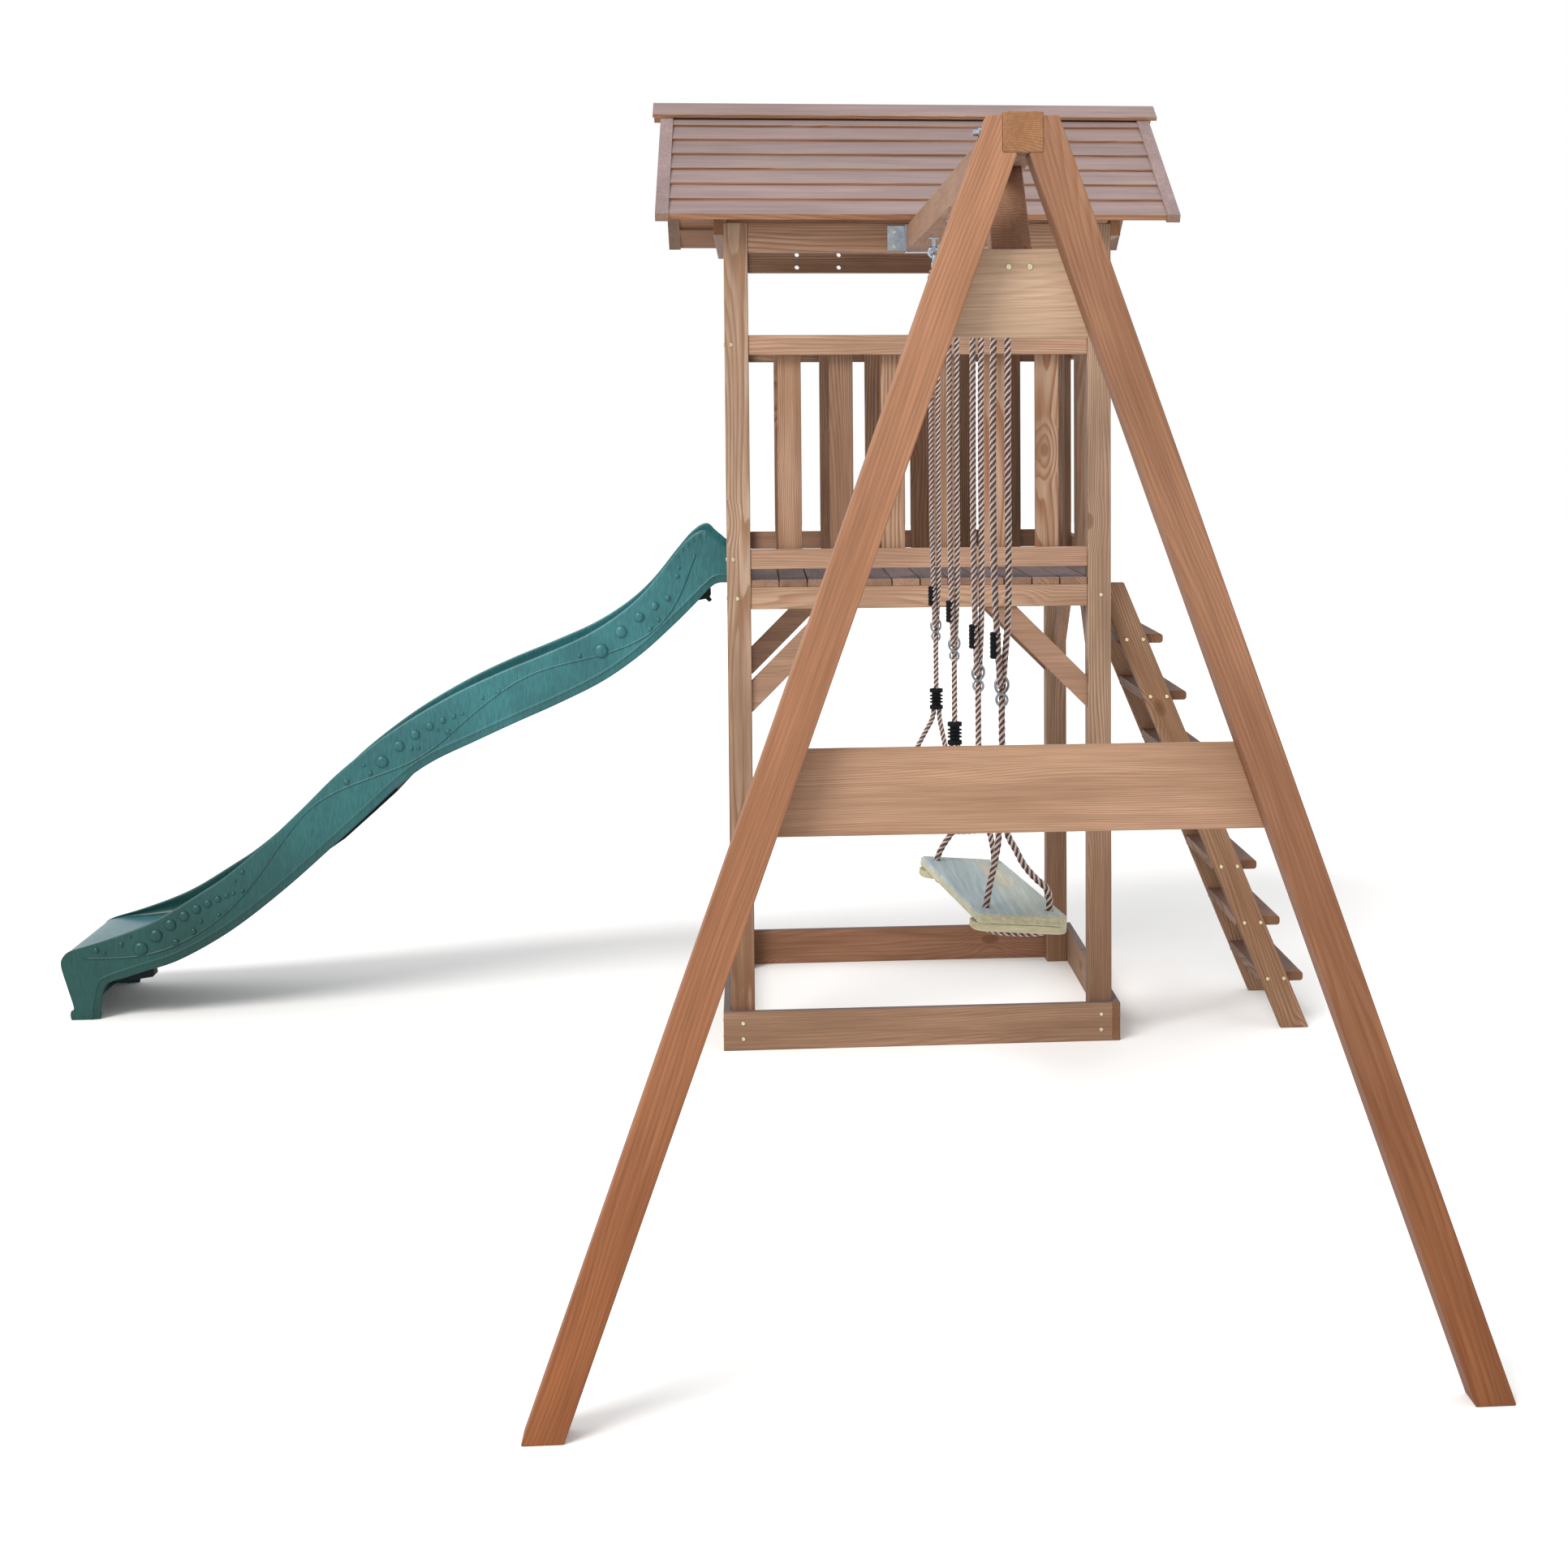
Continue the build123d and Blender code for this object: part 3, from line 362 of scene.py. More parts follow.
for braces, along in (("knee_braces_near_far", "x"), ("knee_braces_sides", "y")):
    timber(braces, RAIL_BROWN, along, 105.0, boards=[LEFT_RIGHT, NEAR_FAR], contrast=0.4,
           ends=PLAIN_ENDS)
timber(("top_beam_near", "top_beam_far"), TOP_BEAM_BROWN, "x", 111.0, seed_step=2, ring_mm=6,
       contrast=0.95)
timber("gable_frames", RAIL_BROWN, "y", 121.0, boards=[LEFT_RIGHT])

for name in ("roof_boards_near", "roof_boards_far"):
    roof_row = ("y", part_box(name)[0].y - MM, (CENTRE + EAVE_OUT) * MM / ROOF_BOARDS)
    timber(name, ROOF_EDGE, "x", 131.0, boards=[roof_row], weather=ROOF_WEATHERED_SHEEN, ring_mm=5,
           contrast=0.8, tone=0.07, knots=0.05)
timber("ridge_caps", ROOF_EDGE, "x", 141.0, weather=ROOF_WEATHERED_SHEEN, boards=[ROOF_SIDES], knots=0.03)
timber("verge_trims", VERGE_BROWN, "y", 151.0, weather=VERGE_WEATHERED_SHEEN,
       boards=[LEFT_RIGHT, ROOF_SIDES], ends=PLAIN_ENDS)

timber("ladder_stringers", STRINGER_BROWN, "z", 161.0, lean=LADDER_LEAN, boards=[STRINGER_ROW],
       contrast=0.6)
timber("ladder_treads", TREAD_BROWN, "y", 171.0, boards=[TREAD_ROW], weather=TREAD_WEATHERED_SHEEN)
timber("swing_beam", SWING_BEAM_BROWN, "y", 181.0, contrast=0.5, knots=0.1, ends=BEAM_ENDS)
timber("beam_brace", BEAM_BRACE_BROWN, "z", 187.0, contrast=0.6, ends=PLAIN_ENDS)
timber("leg_left", ORANGE_BROWN, "z", 191.0, lean=-LEG_LEAN, ring_mm=4, contrast=0.28,
       foot=LEG_GROUND_SHADE)
timber("leg_right", [RIGHT_LEG_SHADE * c for c in ORANGE_BROWN], "z", 197.0, lean=LEG_LEAN,
       ring_mm=4, contrast=0.25, knots=0.12, foot=LEG_GROUND_SHADE)
timber("crossboard_upper", PALE_TAN, "x", 201.0, ring_mm=3, contrast=0.3, knots=0.0)
timber("crossboard_lower", TAN, "x", 207.0, ring_mm=2.6, contrast=0.45, knots=0.03)

SEAT_WOOD = {"ring_mm": 9, "contrast": 0.3, "tone": 0.03, "knots": 0.0, "roughness": 0.5,
             "ends": (0.95, 0.92, 0.85)}
SEAT_EDGE, BATTEN_PALE = (0.52, 0.50, 0.36), (0.56, 0.52, 0.33)
# The planed top, early and late wood: bluish sapwood, creamy heartwood, and a warmer tongue in it.
SAPWOOD, SAPWOOD_RINGS = ((0.37, 0.47, 0.50), (0.46, 0.53, 0.53)), 0.4
HEARTWOOD, HEARTWOOD_RINGS = ((0.42, 0.48, 0.45), (0.49, 0.53, 0.47)), 0.3
TONGUE = (0.53, 0.51, 0.41)
HEARTWOOD_EDGE, TONGUE_EDGE = (-0.012, 0.016), (0.016, 0.020)
EDGE_WAVES, EDGE_SWING = (8.0, 3.0), 0.05
TONGUE_AT, TONGUE_SLIM = (0.030, 0.10), 0.16


def seat_top(middle):
    """Draws the top of the seat whose middle is at that Y."""
    centre = at(CENTRE, middle, SEAT_TOP)

    def draw(g, late):
        across, along, _ = g.split(g.turned(g.place(), "Z", -SEAT_TURN, centre))
        across, along = g.minus(across, centre.x), g.minus(along, centre.y)
        waves = (g.times(value, fine) for value, fine in zip((across, along), EDGE_WAVES))
        bend = g.noise(g.vector(*waves, 0.0))
        wavy = g.plus(across, g.times(g.minus(bend, 0.5), EDGE_SWING))
        off = (g.minus(wavy, TONGUE_AT[0]), g.times(g.minus(along, TONGUE_AT[1]), TONGUE_SLIM))
        reach = g.math("SQRT", g.plus(*(g.math("POWER", value, 2.0) for value in off)))
        sapwood, cream = (g.mix(g.times(late, share), *(rgb(colour, GAIN) for colour in colours))
                          for colours, share in ((SAPWOOD, SAPWOOD_RINGS),
                                                 (HEARTWOOD, HEARTWOOD_RINGS)))
        heart = g.mix(g.ramp(reach, *TONGUE_EDGE), rgb(TONGUE, GAIN), cream)
        return g.mix(g.ramp(wavy, *HEARTWOOD_EDGE), sapwood, heart)
    return draw


for i, (side, (hooks, _, _)) in enumerate(SWINGS.items()):
    timber(f"{side}_seat", SEAT_EDGE, "y", 211.0 + i, weather=seat_top(sum(hooks) / 2),
           **SEAT_WOOD)
    timber(f"{side}_seat_battens", BATTEN_PALE, "x", 221.0 + i, **SEAT_WOOD)


# ------------------------------------------------------------------ metal and plastic
GRIME, GRIME_RANGE = 90.0, (0.3, 0.7)
GRIMY, CLEAN = 0.85, 1.1


def metal(name, colour, roughness):
    g = Graph(name, roughness, metallic=1.0)
    grime = g.noise(g.place(), GRIME, 3.0)
    g.colour(g.mix(g.ramp(grime, *GRIME_RANGE), rgb(colour, GRIMY), rgb(colour, CLEAN)))
    return g.material


def plain(name, colour, roughness, specular=0.5):
    g = Graph(name, roughness, specular=specular)
    g.shader.inputs["Base Color"].default_value = rgb(colour)
    return g.material


ZINC = metal("zinc", (0.40, 0.46, 0.53), 0.28)
YELLOW_ZINC = metal("yellow_zinc", (0.62, 0.58, 0.36), 0.28)
WIRE = metal("wire", (0.25, 0.28, 0.31), 0.30)
BLACK = plain("black_plastic", (0.006, 0.007, 0.009), 0.5, 0.06)
for name in ("beam_saddle", "leg_bolt", "hook_bolts", "near_links", "far_links"):
    dress(name, ZINC)
dress("timber_screws", YELLOW_ZINC)
for name in ("slide_fittings", "near_rope_sleeves", "far_rope_sleeves", "near_rope_splitters",
             "far_rope_splitters"):
    dress(name, BLACK)

# Painted shade low down, and the plastic's own green higher up.
SLIDE_GROUND_SHADE, SLIDE_HIGH = (0.006, 0.046, 0.041), (0.027, 0.130, 0.142)
# Painted blue sky reflection on the level bed.
SLIDE_SKY_REFLECTION = (0.030, 0.112, 0.135)
GROUND_SHADE_FADE, STEEP_TO_LEVEL = (0.1, 1.0), (0.88, 0.99)
MOULD_SLOPE, MOULD_STREAKS = 0.6, (40.0, 30.0, 330.0)
MOULD_TONE, CLOUD_TONE = (0.25, 0.75, 0.80, 1.20), (0.3, 0.7, 0.85, 1.15)
MOULD_BUMP, MOULD_DEPTH = 0.12, 0.0004


def slide_plastic():
    """Green, with a painted shade that darkens it towards the ground, flow streaks, and a painted
    blue sky reflection where it lies level.
    """
    g = Graph("slide_plastic", 0.33, specular=0.32)
    place = g.place()
    x, y, z = g.split(place)
    lean = g.plus(g.times(x, MOULD_SLOPE), z)
    fine = (g.times(value, scale) for value, scale in zip((lean, y, x), MOULD_STREAKS))
    streaks = g.noise(g.vector(*fine), detail=4.0)
    cloud = g.noise(place, 5.0, 3.0)
    # Painted shade: darker towards the ground.
    base = g.mix(g.ramp(z, *GROUND_SHADE_FADE), rgb(SLIDE_GROUND_SHADE), rgb(SLIDE_HIGH))
    # Painted sky reflection: bluer where the bed lies level.
    level = g.ramp(g.split(g.facing())[2], *STEEP_TO_LEVEL)
    base = g.mix(level, base, rgb(SLIDE_SKY_REFLECTION))
    grey = g.times(g.ramp(streaks, *MOULD_TONE), g.ramp(cloud, *CLOUD_TONE))
    g.colour(g.tint(base, g.vector(grey, grey, grey)))
    g.bump(streaks, MOULD_BUMP, MOULD_DEPTH)
    return g.material


SLIDE = slide_plastic()

BROWN_THREADS = ((0.032, 0.016, 0.012), (0.120, 0.068, 0.052))
BEIGE_THREADS = ((0.28, 0.21, 0.19), (0.60, 0.51, 0.48))
THREADS, THREAD_TWIST = 8.0, 0.35          # round one strand, and their turn along it
THREAD_SHADE, THREAD_BUMP, THREAD_DEPTH = (0.2, 0.8), 0.5, 0.0006
# Where the painted highlight of pale yarn lies round each strand; brown yarn elsewhere is a painted
# shade in the grooves.
HIGHLIGHT_FROM, HIGHLIGHT_TO = (0.03, 0.10), (0.31, 0.23)
HIGHLIGHT_START, PATCHES, PATCH_SHIFT = 0.10, 1.3, 0.22


def rope_fibre():
    """Beige and brown yarns laid as painted light: each strand is pale on the side that shows most,
    a painted highlight, and brown towards its neighbours, a painted shade in the grooves.
    """
    g = Graph("rope", 0.85)
    turn, along, _ = g.split(g.node("UVMap", uv_map="lay").outputs[0])
    patch = g.noise(g.vector(0.0, g.times(along, PATCHES), 0.0), detail=1.0)
    side = g.math("FRACT", g.plus(g.plus(turn, HIGHLIGHT_START), g.times(patch, PATCH_SHIFT)))
    thread = g.math("FRACT", g.times(g.plus(turn, g.times(along, THREAD_TWIST)), THREADS))
    # Painted highlight of pale yarn on each strand's outer side, painted shade of brown yarn
    # towards the grooves.
    pale = g.times(g.ramp(side, *HIGHLIGHT_FROM), g.ramp(side, *HIGHLIGHT_TO))
    brown, beige = (g.mix(g.ramp(thread, *THREAD_SHADE), rgb(dark), rgb(light))
                    for dark, light in (BROWN_THREADS, BEIGE_THREADS))
    g.colour(g.mix(pale, brown, beige))
    g.bump(thread, THREAD_BUMP, THREAD_DEPTH)
    return g.material


ROPE = rope_fibre()


# ------------------------------------------------------------------ tubes and ropes
UV_LAY = 12 * MM                           # length of tube that one unit of V covers
CLOSING_V = 0.2                            # what the last stretch of a closed tube takes of V
STRAND_R, STRAND_OUT, ROPE_LAY, STRANDS = 3.3 * MM, 3.0 * MM, 36 * MM, 3
ROPE_STEP = 2.5 * MM


def new_mesh(name, verts, faces, uvs=None):
    mesh = bpy.data.meshes.new(name)
    mesh.from_pydata(verts, [], faces)
    if uvs:
        layer = mesh.uv_layers.new(name="lay")
        for loop, uv in zip(layer.data, uvs):
            loop.uv = uv
    mesh.update()
    mesh.polygons.foreach_set("use_smooth", [True] * len(mesh.polygons))
    return mesh


def evenly(points, step):
    """The same line with points a fixed step apart."""
    line, left = [points[0].copy()], step
    for p, q in zip(points, points[1:]):
        span = (q - p).length
        while span > left:
            p = p.lerp(q, left / span)
            line.append(p.copy())
            span -= left
            left = step
        left -= span
    line.append(points[-1].copy())
    return line


def runs_along(line):
    """The length of the line up to each of its points."""
    runs = [0.0]
    for p, q in zip(line, line[1:]):
        runs.append(runs[-1] + (q - p).length)
    return runs


def frames_along(line, sides=None):
    """Two normals at each point, towards the given sides or turned as little as possible."""
    frames = []
    side = None
    for i in range(len(line)):
        tangent = (line[min(i + 1, len(line) - 1)] - line[max(i - 1, 0)]).normalized()
        if sides:
            side = sides[i]
        elif side is None:
            side = tangent.orthogonal().normalized()
        side = (side - tangent * side.dot(tangent)).normalized()
        frames.append((side, tangent.cross(side)))
    return frames


def round_the(frame_there, angle):
    n, b = frame_there
    return math.cos(angle) * n + math.sin(angle) * b


class Tubes:
    """Round tubes gathered into one mesh."""

    def __init__(self):
        self.verts, self.faces, self.uvs = [], [], []

    def add(self, line, radius, sides=8, closed=False, outwards=None):
        base, count = len(self.verts), len(line)
        run = [length / UV_LAY for length in runs_along(line)]
        for p, there in zip(line, frames_along(line, outwards)):
            self.verts += [p + radius * round_the(there, 2 * math.pi * k / sides)
                           for k in range(sides)]
        for i in range(count if closed else count - 1):
            j = (i + 1) % count
            for k in range(sides):
                m = (k + 1) % sides
                self.faces.append((base + i * sides + k, base + i * sides + m,
                                   base + j * sides + m, base + j * sides + k))
                u, v, end = k / sides, run[i], run[j] if j else run[i] + CLOSING_V
                self.uvs += [(u, v), (u + 1 / sides, v), (u + 1 / sides, end), (u, end)]
        if not closed:
            for start, order in ((0, -1), (count - 1, 1)):
                cap = [base + start * sides + k for k in range(sides)][::order]
                self.faces.append(tuple(cap))
                self.uvs += [(0, 0)] * sides

    def piece(self, name, material):
        piece = add(name, new_mesh(name, self.verts, self.faces, self.uvs))
        piece.data.materials.append(material)
        return piece


def spline_points(name, points, resolution=24):
    """The points of a smooth open curve that is steered by the given ones."""
    curve = bpy.data.curves.new(name, "CURVE")
    curve.dimensions = "3D"
    curve.resolution_u = resolution
    spline = curve.splines.new("NURBS")
    spline.points.add(len(points) - 1)
    for knot, p in zip(spline.points, points):
        knot.co = (*p, 1.0)
    spline.order_u = 3
    spline.use_endpoint_u = True
    holder = add(name, curve)
    mesh = bpy.data.meshes.new_from_object(holder)
    line = [v.co.copy() for v in mesh.vertices]
    bpy.data.objects.remove(holder)
    bpy.data.meshes.remove(mesh)
    return line


def rope(name, points, start_turn):
    """Three strands twisted round the route. Returns the piece and the line it follows."""
    line = evenly(spline_points(name + "_line", points), ROPE_STEP)
    frames, runs = frames_along(line), runs_along(line)
    tubes = Tubes()
    for k in range(STRANDS):
        outwards = [round_the(there, start_turn + 2 * math.pi * (run / ROPE_LAY + k / STRANDS))
                    for there, run in zip(frames, runs)]
        strand = [p + STRAND_OUT * out for p, out in zip(line, outwards)]
        tubes.add(strand, STRAND_R, outwards=outwards)
    return tubes.piece(name, ROPE), line


# ------------------------------------------------------------------ swings
SPLITTER_H = 48
# Legs of a seat rope above the seat, as share of the way to the hole, outwards, and drop.
SEAT_ROPE_LEG = [(0, 6.4, 0), (0, 6.4, 20), (0.28, 4.6, 52)]
SLACK_LEG = [(0, 6.4, 0), (0.03, 7, 15), (0.21, 5.5, 36), (0.36, 5, 62), (0.62, 5, 88),
             (0.91, 3, 106)]
SEAT_ROPE_HOLE = [(1, 18), (1.01, -28), (0.86, -42)]     # share of the hole's X, height
ADJUSTER_WIRE, ADJUSTER_BOW, ADJUSTER_POINTS = 2.4 * MM, 8.5, 32
ADJUSTER_HIGH, ADJUSTER_CROSS, ADJUSTER_LOW = 1169, 1139, 1118
ADJUSTER_LOOPS = (                                       # low, high, half width, which side
    (ADJUSTER_CROSS, ADJUSTER_HIGH, 12, 1),
    (ADJUSTER_LOW, ADJUSTER_CROSS, 9, -1),
)
SLEEVE_LOW, SLEEVE_HIGH, SLEEVE_R = 1200, 1246, 9
SLEEVE_OUT, SLEEVE_OUT_SPREAD, SLEEVE_BACK = -4, -6.8, 0.5
SLEEVE_RIBS, RIB_INSET, RIB_WIRE, RIB_POINTS = 6, 4, 1.2, 24
HANGING_TURN, SLING_TURN = 0.7, 0.3        # make the lay of each rope start somewhere else


def hanging_route(foot, drop, spread):
    """From the splitter through the adjuster, over the link and back, as X, Y from the hook, Z."""
    up = [(0, 0, foot + SPLITTER_H), (0, 0, 1060 - drop), (-0.5, 0.5, ADJUSTER_LOW - drop),
          (3.5, 5, 1172 - drop), (14 * spread, 3, 1290 - drop), (11 * spread, -2, 1520),
          (13 * spread, 2, 1750), (10.6, 0.4, 1872)]
    over = [(9.8, 0, 1941.9), (4.1, 0, 1947.6), (-4.1, 0, 1947.6), (-9.8, 0, 1941.9)]
    down = [(-10.4, 0.6, 1872), (-12 * spread, 3, 1740), (-15 * spread, -2, 1500),
            (-12 * spread, 0, 1290 - drop), (-3, -6.5, 1150 - drop)]
    return up + over + down


def seat_rope_route(place, foot, hook_y, hole_y, legs):
    """From the splitter down through one hole, under the seat's end and back up."""
    route = []
    for side, points in zip((-1, 1), legs):
        bored = [place @ Vector((share * side * SEAT_HOLES[0] / 2, hole_y, z))
                 for share, z in SEAT_ROPE_HOLE]
        x, y = bored[0].x, bored[0].y - hook_y
        leg = [(share * x + side * out, hook_y + share * y, foot - drop)
               for share, out, drop in points]
        leg += [tuple(p) for p in bored]
        route += leg if side < 0 else leg[::-1]
    return route


def sleeve_rib(centre):
    return [centre + SLEEVE_R * MM * Vector((math.cos(t), math.sin(t), 0))
            for t in (2 * math.pi * i / RIB_POINTS for i in range(RIB_POINTS))]


def adjuster_line(hook_y, drop):
    """A wire bent into an eight: a tall oval loop round the doubled rope over a small ring."""
    line = []
    for low, high, wide, turn in ADJUSTER_LOOPS:
        for i in range(ADJUSTER_POINTS):
            t = 2 * math.pi * i / ADJUSTER_POINTS
            z = (high + low) / 2 - turn * (high - low) / 2 * math.cos(t)
            y = hook_y + turn * ADJUSTER_BOW * math.cos(t / 2)
            line.append(at(CENTRE + wide * math.sin(t), y, z - drop))
    return line


def add_rope(name, route, body, node, turn):
    points = [at(CENTRE + x, y, z) for x, y, z in route]
    piece, line = rope(name, points, turn)
    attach(piece, body)
    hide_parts(node)


def add_swing(side, hooks, lean, ropes):
    body = f"{side}_swing"
    place = (Matrix.Translation((0, sum(hooks) / 2, SEAT_TOP))
             @ Matrix.Rotation(math.radians(SEAT_TURN), 4, "Z")
             @ Matrix.Rotation(math.radians(lean), 4, "Y"))
    wires, ribs = Tubes(), Tubes()
    for end, hook_y, hole_y, (foot, drop, spread, hanging, sling) in zip(
            "ab", hooks, (-SEAT_HOLES[1] / 2, SEAT_HOLES[1] / 2), ropes):
        route = [(x, hook_y + y, z) for x, y, z in hanging_route(foot, drop, spread)]
        add_rope(f"{side}_hanging_rope_{end}", route, body, f"{side}_rope_{end}",
                 HANGING_TURN * hook_y)
        slack = (side, end) == ("near", "a")
        legs = (SEAT_ROPE_LEG, SLACK_LEG if slack else SEAT_ROPE_LEG)
        route = seat_rope_route(place, foot, hook_y, hole_y, legs)
        add_rope(f"{side}_seat_sling_{end}", route, body, f"{side}_seat_rope_{end}",
                 SLING_TURN * hook_y)
        wires.add(adjuster_line(hook_y, drop), ADJUSTER_WIRE, sides=10, closed=True)
        sleeve_x = CENTRE + SLEEVE_OUT + SLEEVE_OUT_SPREAD * spread
        for i in range(SLEEVE_RIBS):
            part_way = i * (SLEEVE_HIGH - SLEEVE_LOW - 2 * RIB_INSET) / (SLEEVE_RIBS - 1)
            z = SLEEVE_LOW - drop + RIB_INSET + part_way
            ribs.add(sleeve_rib(at(sleeve_x, hook_y + SLEEVE_BACK, z)), RIB_WIRE * MM, closed=True)
    wires = wires.piece(f"{side}_adjuster_wires", WIRE)
    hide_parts(f"{side}_rope_adjusters")
    ribs = ribs.piece(f"{side}_sleeve_ribs", BLACK)
    for piece in (wires, ribs):
        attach(piece, body)


for side, swing in SWINGS.items():
    add_swing(side, *swing)


# ------------------------------------------------------------------ slide
SLIDE_Y = (497, 947)
# (top edge, bottom edge, bed) of the side wall as (X, Z), from the deck down to the foot.
SLIDE_RIBS = [
    ((-2, 1252), (-2, 1161), (-2, 1206)),
    ((-38, 1283), (-24, 1161), (-24, 1204)),
    ((-66, 1305), (-42, 1154), (-46, 1184)),
    ((-104, 1286), (-66, 1132), (-80, 1143)),
    ((-149, 1236), (-91, 1105), (-105, 1114)),
    ((-221, 1147), (-151, 1046), (-163, 1057)),
    ((-293, 1082), (-240, 967), (-252, 981)),
    ((-388, 1022), (-341, 897), (-348, 914)),
    ((-508, 969), (-460, 838), (-468, 857)),
    ((-627, 921), (-577, 787), (-585, 806)),
    ((-747, 865), (-690, 736), (-699, 755)),
    ((-868, 796), (-802, 684), (-812, 701)),
    ((-964, 730), (-884, 628), (-898, 641)),
    ((-1061, 652), (-978, 542), (-992, 552)),
    ((-1159, 556), (-1084, 447), (-1098, 456)),
    ((-1257, 465), (-1187, 356), (-1199, 369)),
    ((-1355, 384), (-1300, 266), (-1310, 285)),
    ((-1428, 336), (-1390, 206), (-1398, 237)),
    ((-1525, 277), (-1490, 154), (-1500, 210)),
    ((-1600, 243), (-1572, 128), (-1585, 198)),
    ((-1690, 212), (-1632, 110), (-1676, 192)),
    ((-1765, 190), (-1660, 103), (-1763, 188)),
    ((-1789, 174), (-1677, 94), (-1787, 172)),
    ((-1796, 148), (-1687, 76), (-1794, 147)),
    ((-1780, 88), (-1691, 52), (-1778, 88)),
    ((-1765, 34), (-1695, 30), (-1763, 34)),
    ((-1772, 24), (-1694, 21), (-1770, 24)),
    ((-1774, 14), (-1694, 12), (-1772, 14)),
    ((-1772, 1), (-1697, 0), (-1770, 1)),
]
STEPS = 7                                  # from one of these ribs to the next
BAND, BEAD, WALL_IN, SHELL, FOLD = 20, 1.8, 9, 6, 16
# The wall's profile: Y from its outer face, with the height above its foot, the depth below its
# top, and the height above the bed. Where the wall is lower than WALL_ROOM, the last two shrink.
OUTSIDE = [(WALL_IN - 0.5, 1.5), (7, 0), (5.2, 0.6), (4.0, 4), (2.2, 13), (1.0, BAND - 2.5),
           (-0.2, BAND - 1), (-BEAD, BAND + 1), (-BEAD, BAND + 2.5), (-0.6, BAND + 4.5),
           (0, BAND + 7)]
RIM = [(0, 14), (0, 5), (0.8, 2), (2.6, 0.4), (5, 0), (9, 0), (11.4, 0.5), (13, 2.4), (13.4, 5),
       (13, 12), (11, 22)]
INSIDE_EDGE = [(10, 30), (11, 18), (15, 8), (23, 2), (36, 0)]
WALL_ROOM = 62
START_LOW, LEAST_START, LEAST_UNDER = 3, 0.5, 0.3
# The lip that laps over the deck, as ranges of X, Y and Z.
LIP, LIP_EDGE = ((-4, 70), (529, 916), (1200.2, 1206)), 2.5

# Rows of domes that shrink from start to end: (start, end, bow, first and last radius, how many).
DOME_ROWS = [
    ((-1586, 190), (-1339, 335), 16, 19.5, 6, 9),
    ((-938, 686), (-723, 813), 17, 17, 5, 7),
    ((-347, 979), (-166, 1121), 8, 19.5, 8.5, 5),
]
LOOSE_DOMES = [  # X, Z, radius
    (-1703, 188, 8.5), (-1681, 182, 5.5), (-1637, 203, 7.5), (-1612, 224, 4.5), (-1493, 205, 10),
    (-1446, 234, 8.5), (-1426, 261, 6), (-1378, 278, 6), (-1360, 288, 3.5), (-1315, 342, 6),
    (-1314, 393, 7.5), (-1334, 369, 4), (-1034, 633, 8.5), (-986, 677, 5), (-970, 655, 7),
    (-860, 721, 6), (-840, 722, 5), (-761, 765, 8.5), (-790, 770, 4), (-668, 856, 5),
    (-624, 872, 7.5), (-406, 967, 6.5), (-214, 1037, 7.5), (-192, 1062, 6), (-139, 1181, 6.5),
    (-135, 1203, 5), (-129, 1140, 4),
]
DOME_H, DOME_H_PER_R, DOME_SUNK = 2.2, 0.40, 0.4
# The embossed line that weaves between the wall's two edges.
WAVE = [
    (-1738, 167), (-1630, 164), (-1540, 178), (-1455, 214), (-1375, 267), (-1315, 326),
    (-1263, 392), (-1205, 478), (-1140, 560), (-1060, 610), (-964, 644), (-870, 678), (-798, 721),
    (-703, 806), (-620, 872), (-540, 918), (-470, 941), (-341, 969), (-255, 1000), (-190, 1042),
    (-141, 1110), (-112, 1180), (-90, 1240),
]
WAVE_R, WAVE_SUNK, WAVE_RESOLUTION = 3.3, 0.6, 8
# Shallow finger marks under the rim at the very top.
GRIPS = [(-140, 1234), (-126, 1252), (-112, 1267), (-97, 1279), (-80, 1290), (-62, 1293)]
GRIP_R, GRIP_H = 7.5, 1.6


def catmull(a, b, c, d, t):
    """A point between b and c on the smooth curve through all four."""
    return 0.5 * (2 * b + (c - a) * t + (2 * a - 5 * b + 4 * c - d) * t * t
                  + (3 * b - 3 * c + d - a) * t**3)


def smooth_ribs():
    ribs = [[Vector(p) for p in rib] for rib in SLIDE_RIBS]
    fine = []
    for i in range(len(ribs) - 1):
        four = (ribs[max(i - 1, 0)], ribs[i], ribs[i + 1], ribs[min(i + 2, len(ribs) - 1)])
        for step in range(STEPS):
            fine.append([catmull(*points, step / STEPS) for points in zip(*four)])
    return fine + [ribs[-1]]


def half_profile(height, bed):
    """(Y from the outer face, distance up the rib), from the wall's lower inside to the bed."""
    room = max(0.0, min(1.0, (height - bed) / WALL_ROOM))
    start = [(WALL_IN, max(LEAST_START, bed - SHELL - START_LOW))]
    top = [(y, height - down * room) for y, down in RIM]
    inside = [(y, bed + up * room) for y, up in INSIDE_EDGE]
    return start + OUTSIDE + top + inside


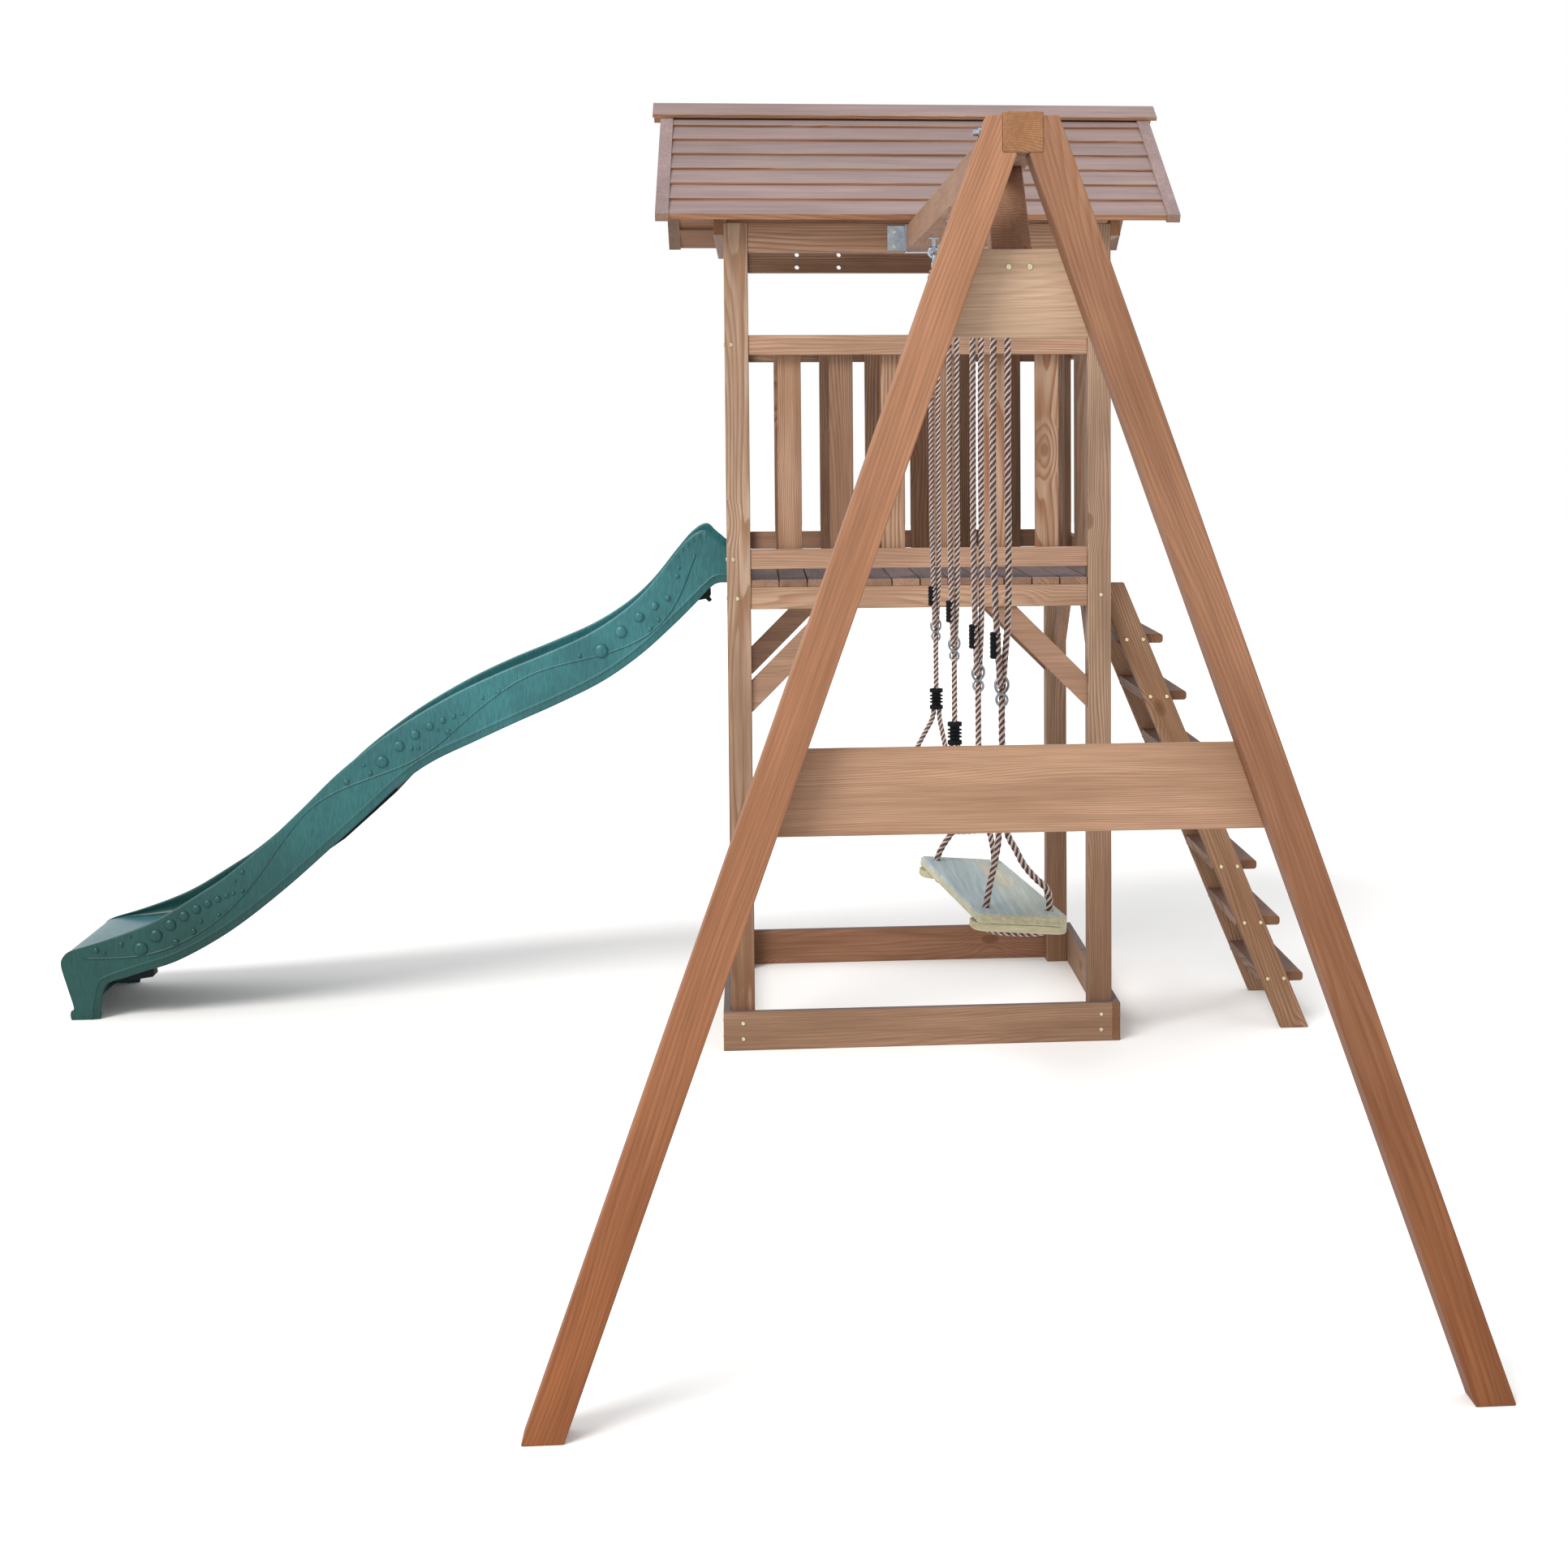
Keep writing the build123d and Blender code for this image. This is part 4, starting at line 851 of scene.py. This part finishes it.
def slide_shell():
    width = SLIDE_Y[1] - SLIDE_Y[0]
    verts, faces = [], []
    ribs = smooth_ribs()
    for top, low, bed in ribs:
        height = (top - low).length
        up = (top - low) / height
        level = max(0.0, min(height, (bed - low).dot(up)))
        near = half_profile(height, level)
        loop = near + [(width / 2, level)] + [(width - y, h) for y, h in reversed(near)]
        under = max(LEAST_UNDER, level - SHELL)
        loop += [(width - WALL_IN - FOLD, under), (WALL_IN + FOLD, under)]
        for y, h in loop:
            p = low + up * h
            verts.append(at(p.x, SLIDE_Y[0] + y, p.y))
    ring = len(verts) // len(ribs)
    for i in range(len(ribs) - 1):
        for k in range(ring):
            m = (k + 1) % ring
            faces.append((i * ring + k, i * ring + m, (i + 1) * ring + m, (i + 1) * ring + k))
    faces.append(tuple(range(ring))[::-1])
    faces.append(tuple((len(ribs) - 1) * ring + k for k in range(ring)))
    return verts, faces


def dome(verts, faces, centre, radius, height, outward, sides=20, rings=5):
    """A low dome standing on the slide's wall."""
    base, first_face = len(verts), len(faces)
    for i in range(rings):
        angle = math.pi / 2 * i / rings
        r, out = radius * math.cos(angle), outward * height * math.sin(angle)
        for k in range(sides):
            turn = 2 * math.pi * k / sides
            verts.append(centre + Vector((r * math.cos(turn), out, r * math.sin(turn))))
    verts.append(centre + Vector((0, outward * height, 0)))
    for i in range(rings - 1):
        low, high = base + i * sides, base + (i + 1) * sides
        for k in range(sides):
            m = (k + 1) % sides
            faces.append((low + k, low + m, high + m, high + k))
    last = base + (rings - 1) * sides
    for k in range(sides):
        faces.append((last + k, last + (k + 1) % sides, len(verts) - 1))
    faces.append(tuple(base + k for k in range(sides))[::-1])
    if outward > 0:
        faces[first_face:] = [face[::-1] for face in faces[first_face:]]


def slide_domes():
    verts, faces = [], []
    spots = list(LOOSE_DOMES)
    for start, end, bow, first, last, count in DOME_ROWS:
        radii = [first + (last - first) * i / (count - 1) for i in range(count)]
        gaps = [radii[i] + radii[i + 1] for i in range(count - 1)]
        start, end = Vector(start), Vector(end)
        normal = Vector((start.y - end.y, end.x - start.x)).normalized()
        for i, radius in enumerate(radii):
            t = sum(gaps[:i]) / sum(gaps)
            p = start.lerp(end, t) + normal * bow * 4 * t * (1 - t)
            spots.append((p.x, p.y, radius))
    domes = [(x, z, radius, DOME_H + DOME_H_PER_R * radius) for x, z, radius in spots]
    domes += [(x, z, GRIP_R, GRIP_H) for x, z in GRIPS]
    for face_y, outward in ((SLIDE_Y[0], -1), (SLIDE_Y[1], 1)):
        for x, z, radius, height in domes:
            centre = at(x, face_y - outward * DOME_SUNK, z)
            dome(verts, faces, centre, radius * MM, height * MM, outward)
    return verts, faces


def rounded_box(x, y, z, radius):
    """A box mesh with every edge rounded."""
    low, high = at(x[0], y[0], z[0]), at(x[1], y[1], z[1])
    bm = bmesh.new()
    bmesh.ops.create_cube(bm, size=1.0)
    for v in bm.verts:
        v.co = Vector([(a + b) / 2 + c * (b - a) for a, b, c in zip(low, high, v.co)])
    bmesh.ops.bevel(bm, geom=bm.edges[:], offset=radius * MM, segments=3, profile=0.5,
                    affect="EDGES")
    mesh = bpy.data.meshes.new("box")
    bm.to_mesh(mesh)
    bm.free()
    return mesh


def add_slide():
    piece = add("slide_shell", new_mesh("slide_shell", *slide_shell()))
    piece.data.materials.append(SLIDE)
    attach(piece, "root")
    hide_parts("slide")

    lip = add("slide_lip", rounded_box(*LIP, LIP_EDGE))
    domes = add("slide_domes", new_mesh("slide_domes", *slide_domes()))
    tubes = Tubes()
    for face_y in (SLIDE_Y[0] + WAVE_SUNK, SLIDE_Y[1] - WAVE_SUNK):
        line = spline_points("wave", [at(x, face_y, z) for x, z in WAVE], WAVE_RESOLUTION)
        tubes.add(line, WAVE_R * MM)
    wave = tubes.piece("slide_wave_line", SLIDE)
    for extra in (lip, domes):
        extra.data.materials.append(SLIDE)
    for extra in (lip, domes, wave):
        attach(extra, "root")


add_slide()


# ------------------------------------------------------------------ floor and light
FLOOR_HALF, FLOOR_GREY = 30.0, (0.86, 0.86, 0.86)
SKY_COLOUR, SKY_STRENGTH = (1.0, 1.0, 1.0, 1.0), 1.0
SUN_COLOUR, SUN_STRENGTH, SUN_WIDTH = (1.0, 0.97, 0.93), 2.6, 28
SUN_TILT, SUN_TURN = 46, -38


def add_stage():
    corners = [(-1, -1), (1, -1), (1, 1), (-1, 1)]
    verts = [(FLOOR_HALF * x, FLOOR_HALF * y, 0) for x, y in corners]
    mesh = bpy.data.meshes.new("floor")
    mesh.from_pydata(verts, [], [(0, 1, 2, 3)])
    floor = add("floor", mesh)
    floor.data.materials.append(plain("floor", FLOOR_GREY, 0.9))

    world = bpy.data.worlds.new("world")
    world.use_nodes = True
    world.node_tree.nodes["Background"].inputs["Color"].default_value = SKY_COLOUR
    world.node_tree.nodes["Background"].inputs["Strength"].default_value = SKY_STRENGTH
    scene.world = world
    sun = bpy.data.lights.new("soft_sun", "SUN")
    sun.energy = SUN_STRENGTH
    sun.angle = math.radians(SUN_WIDTH)
    sun.color = SUN_COLOUR
    lamp = add("soft_sun", sun)
    lamp.rotation_euler = (math.radians(SUN_TILT), 0, math.radians(SUN_TURN))
    scene.view_settings.view_transform = "Standard"


add_stage()
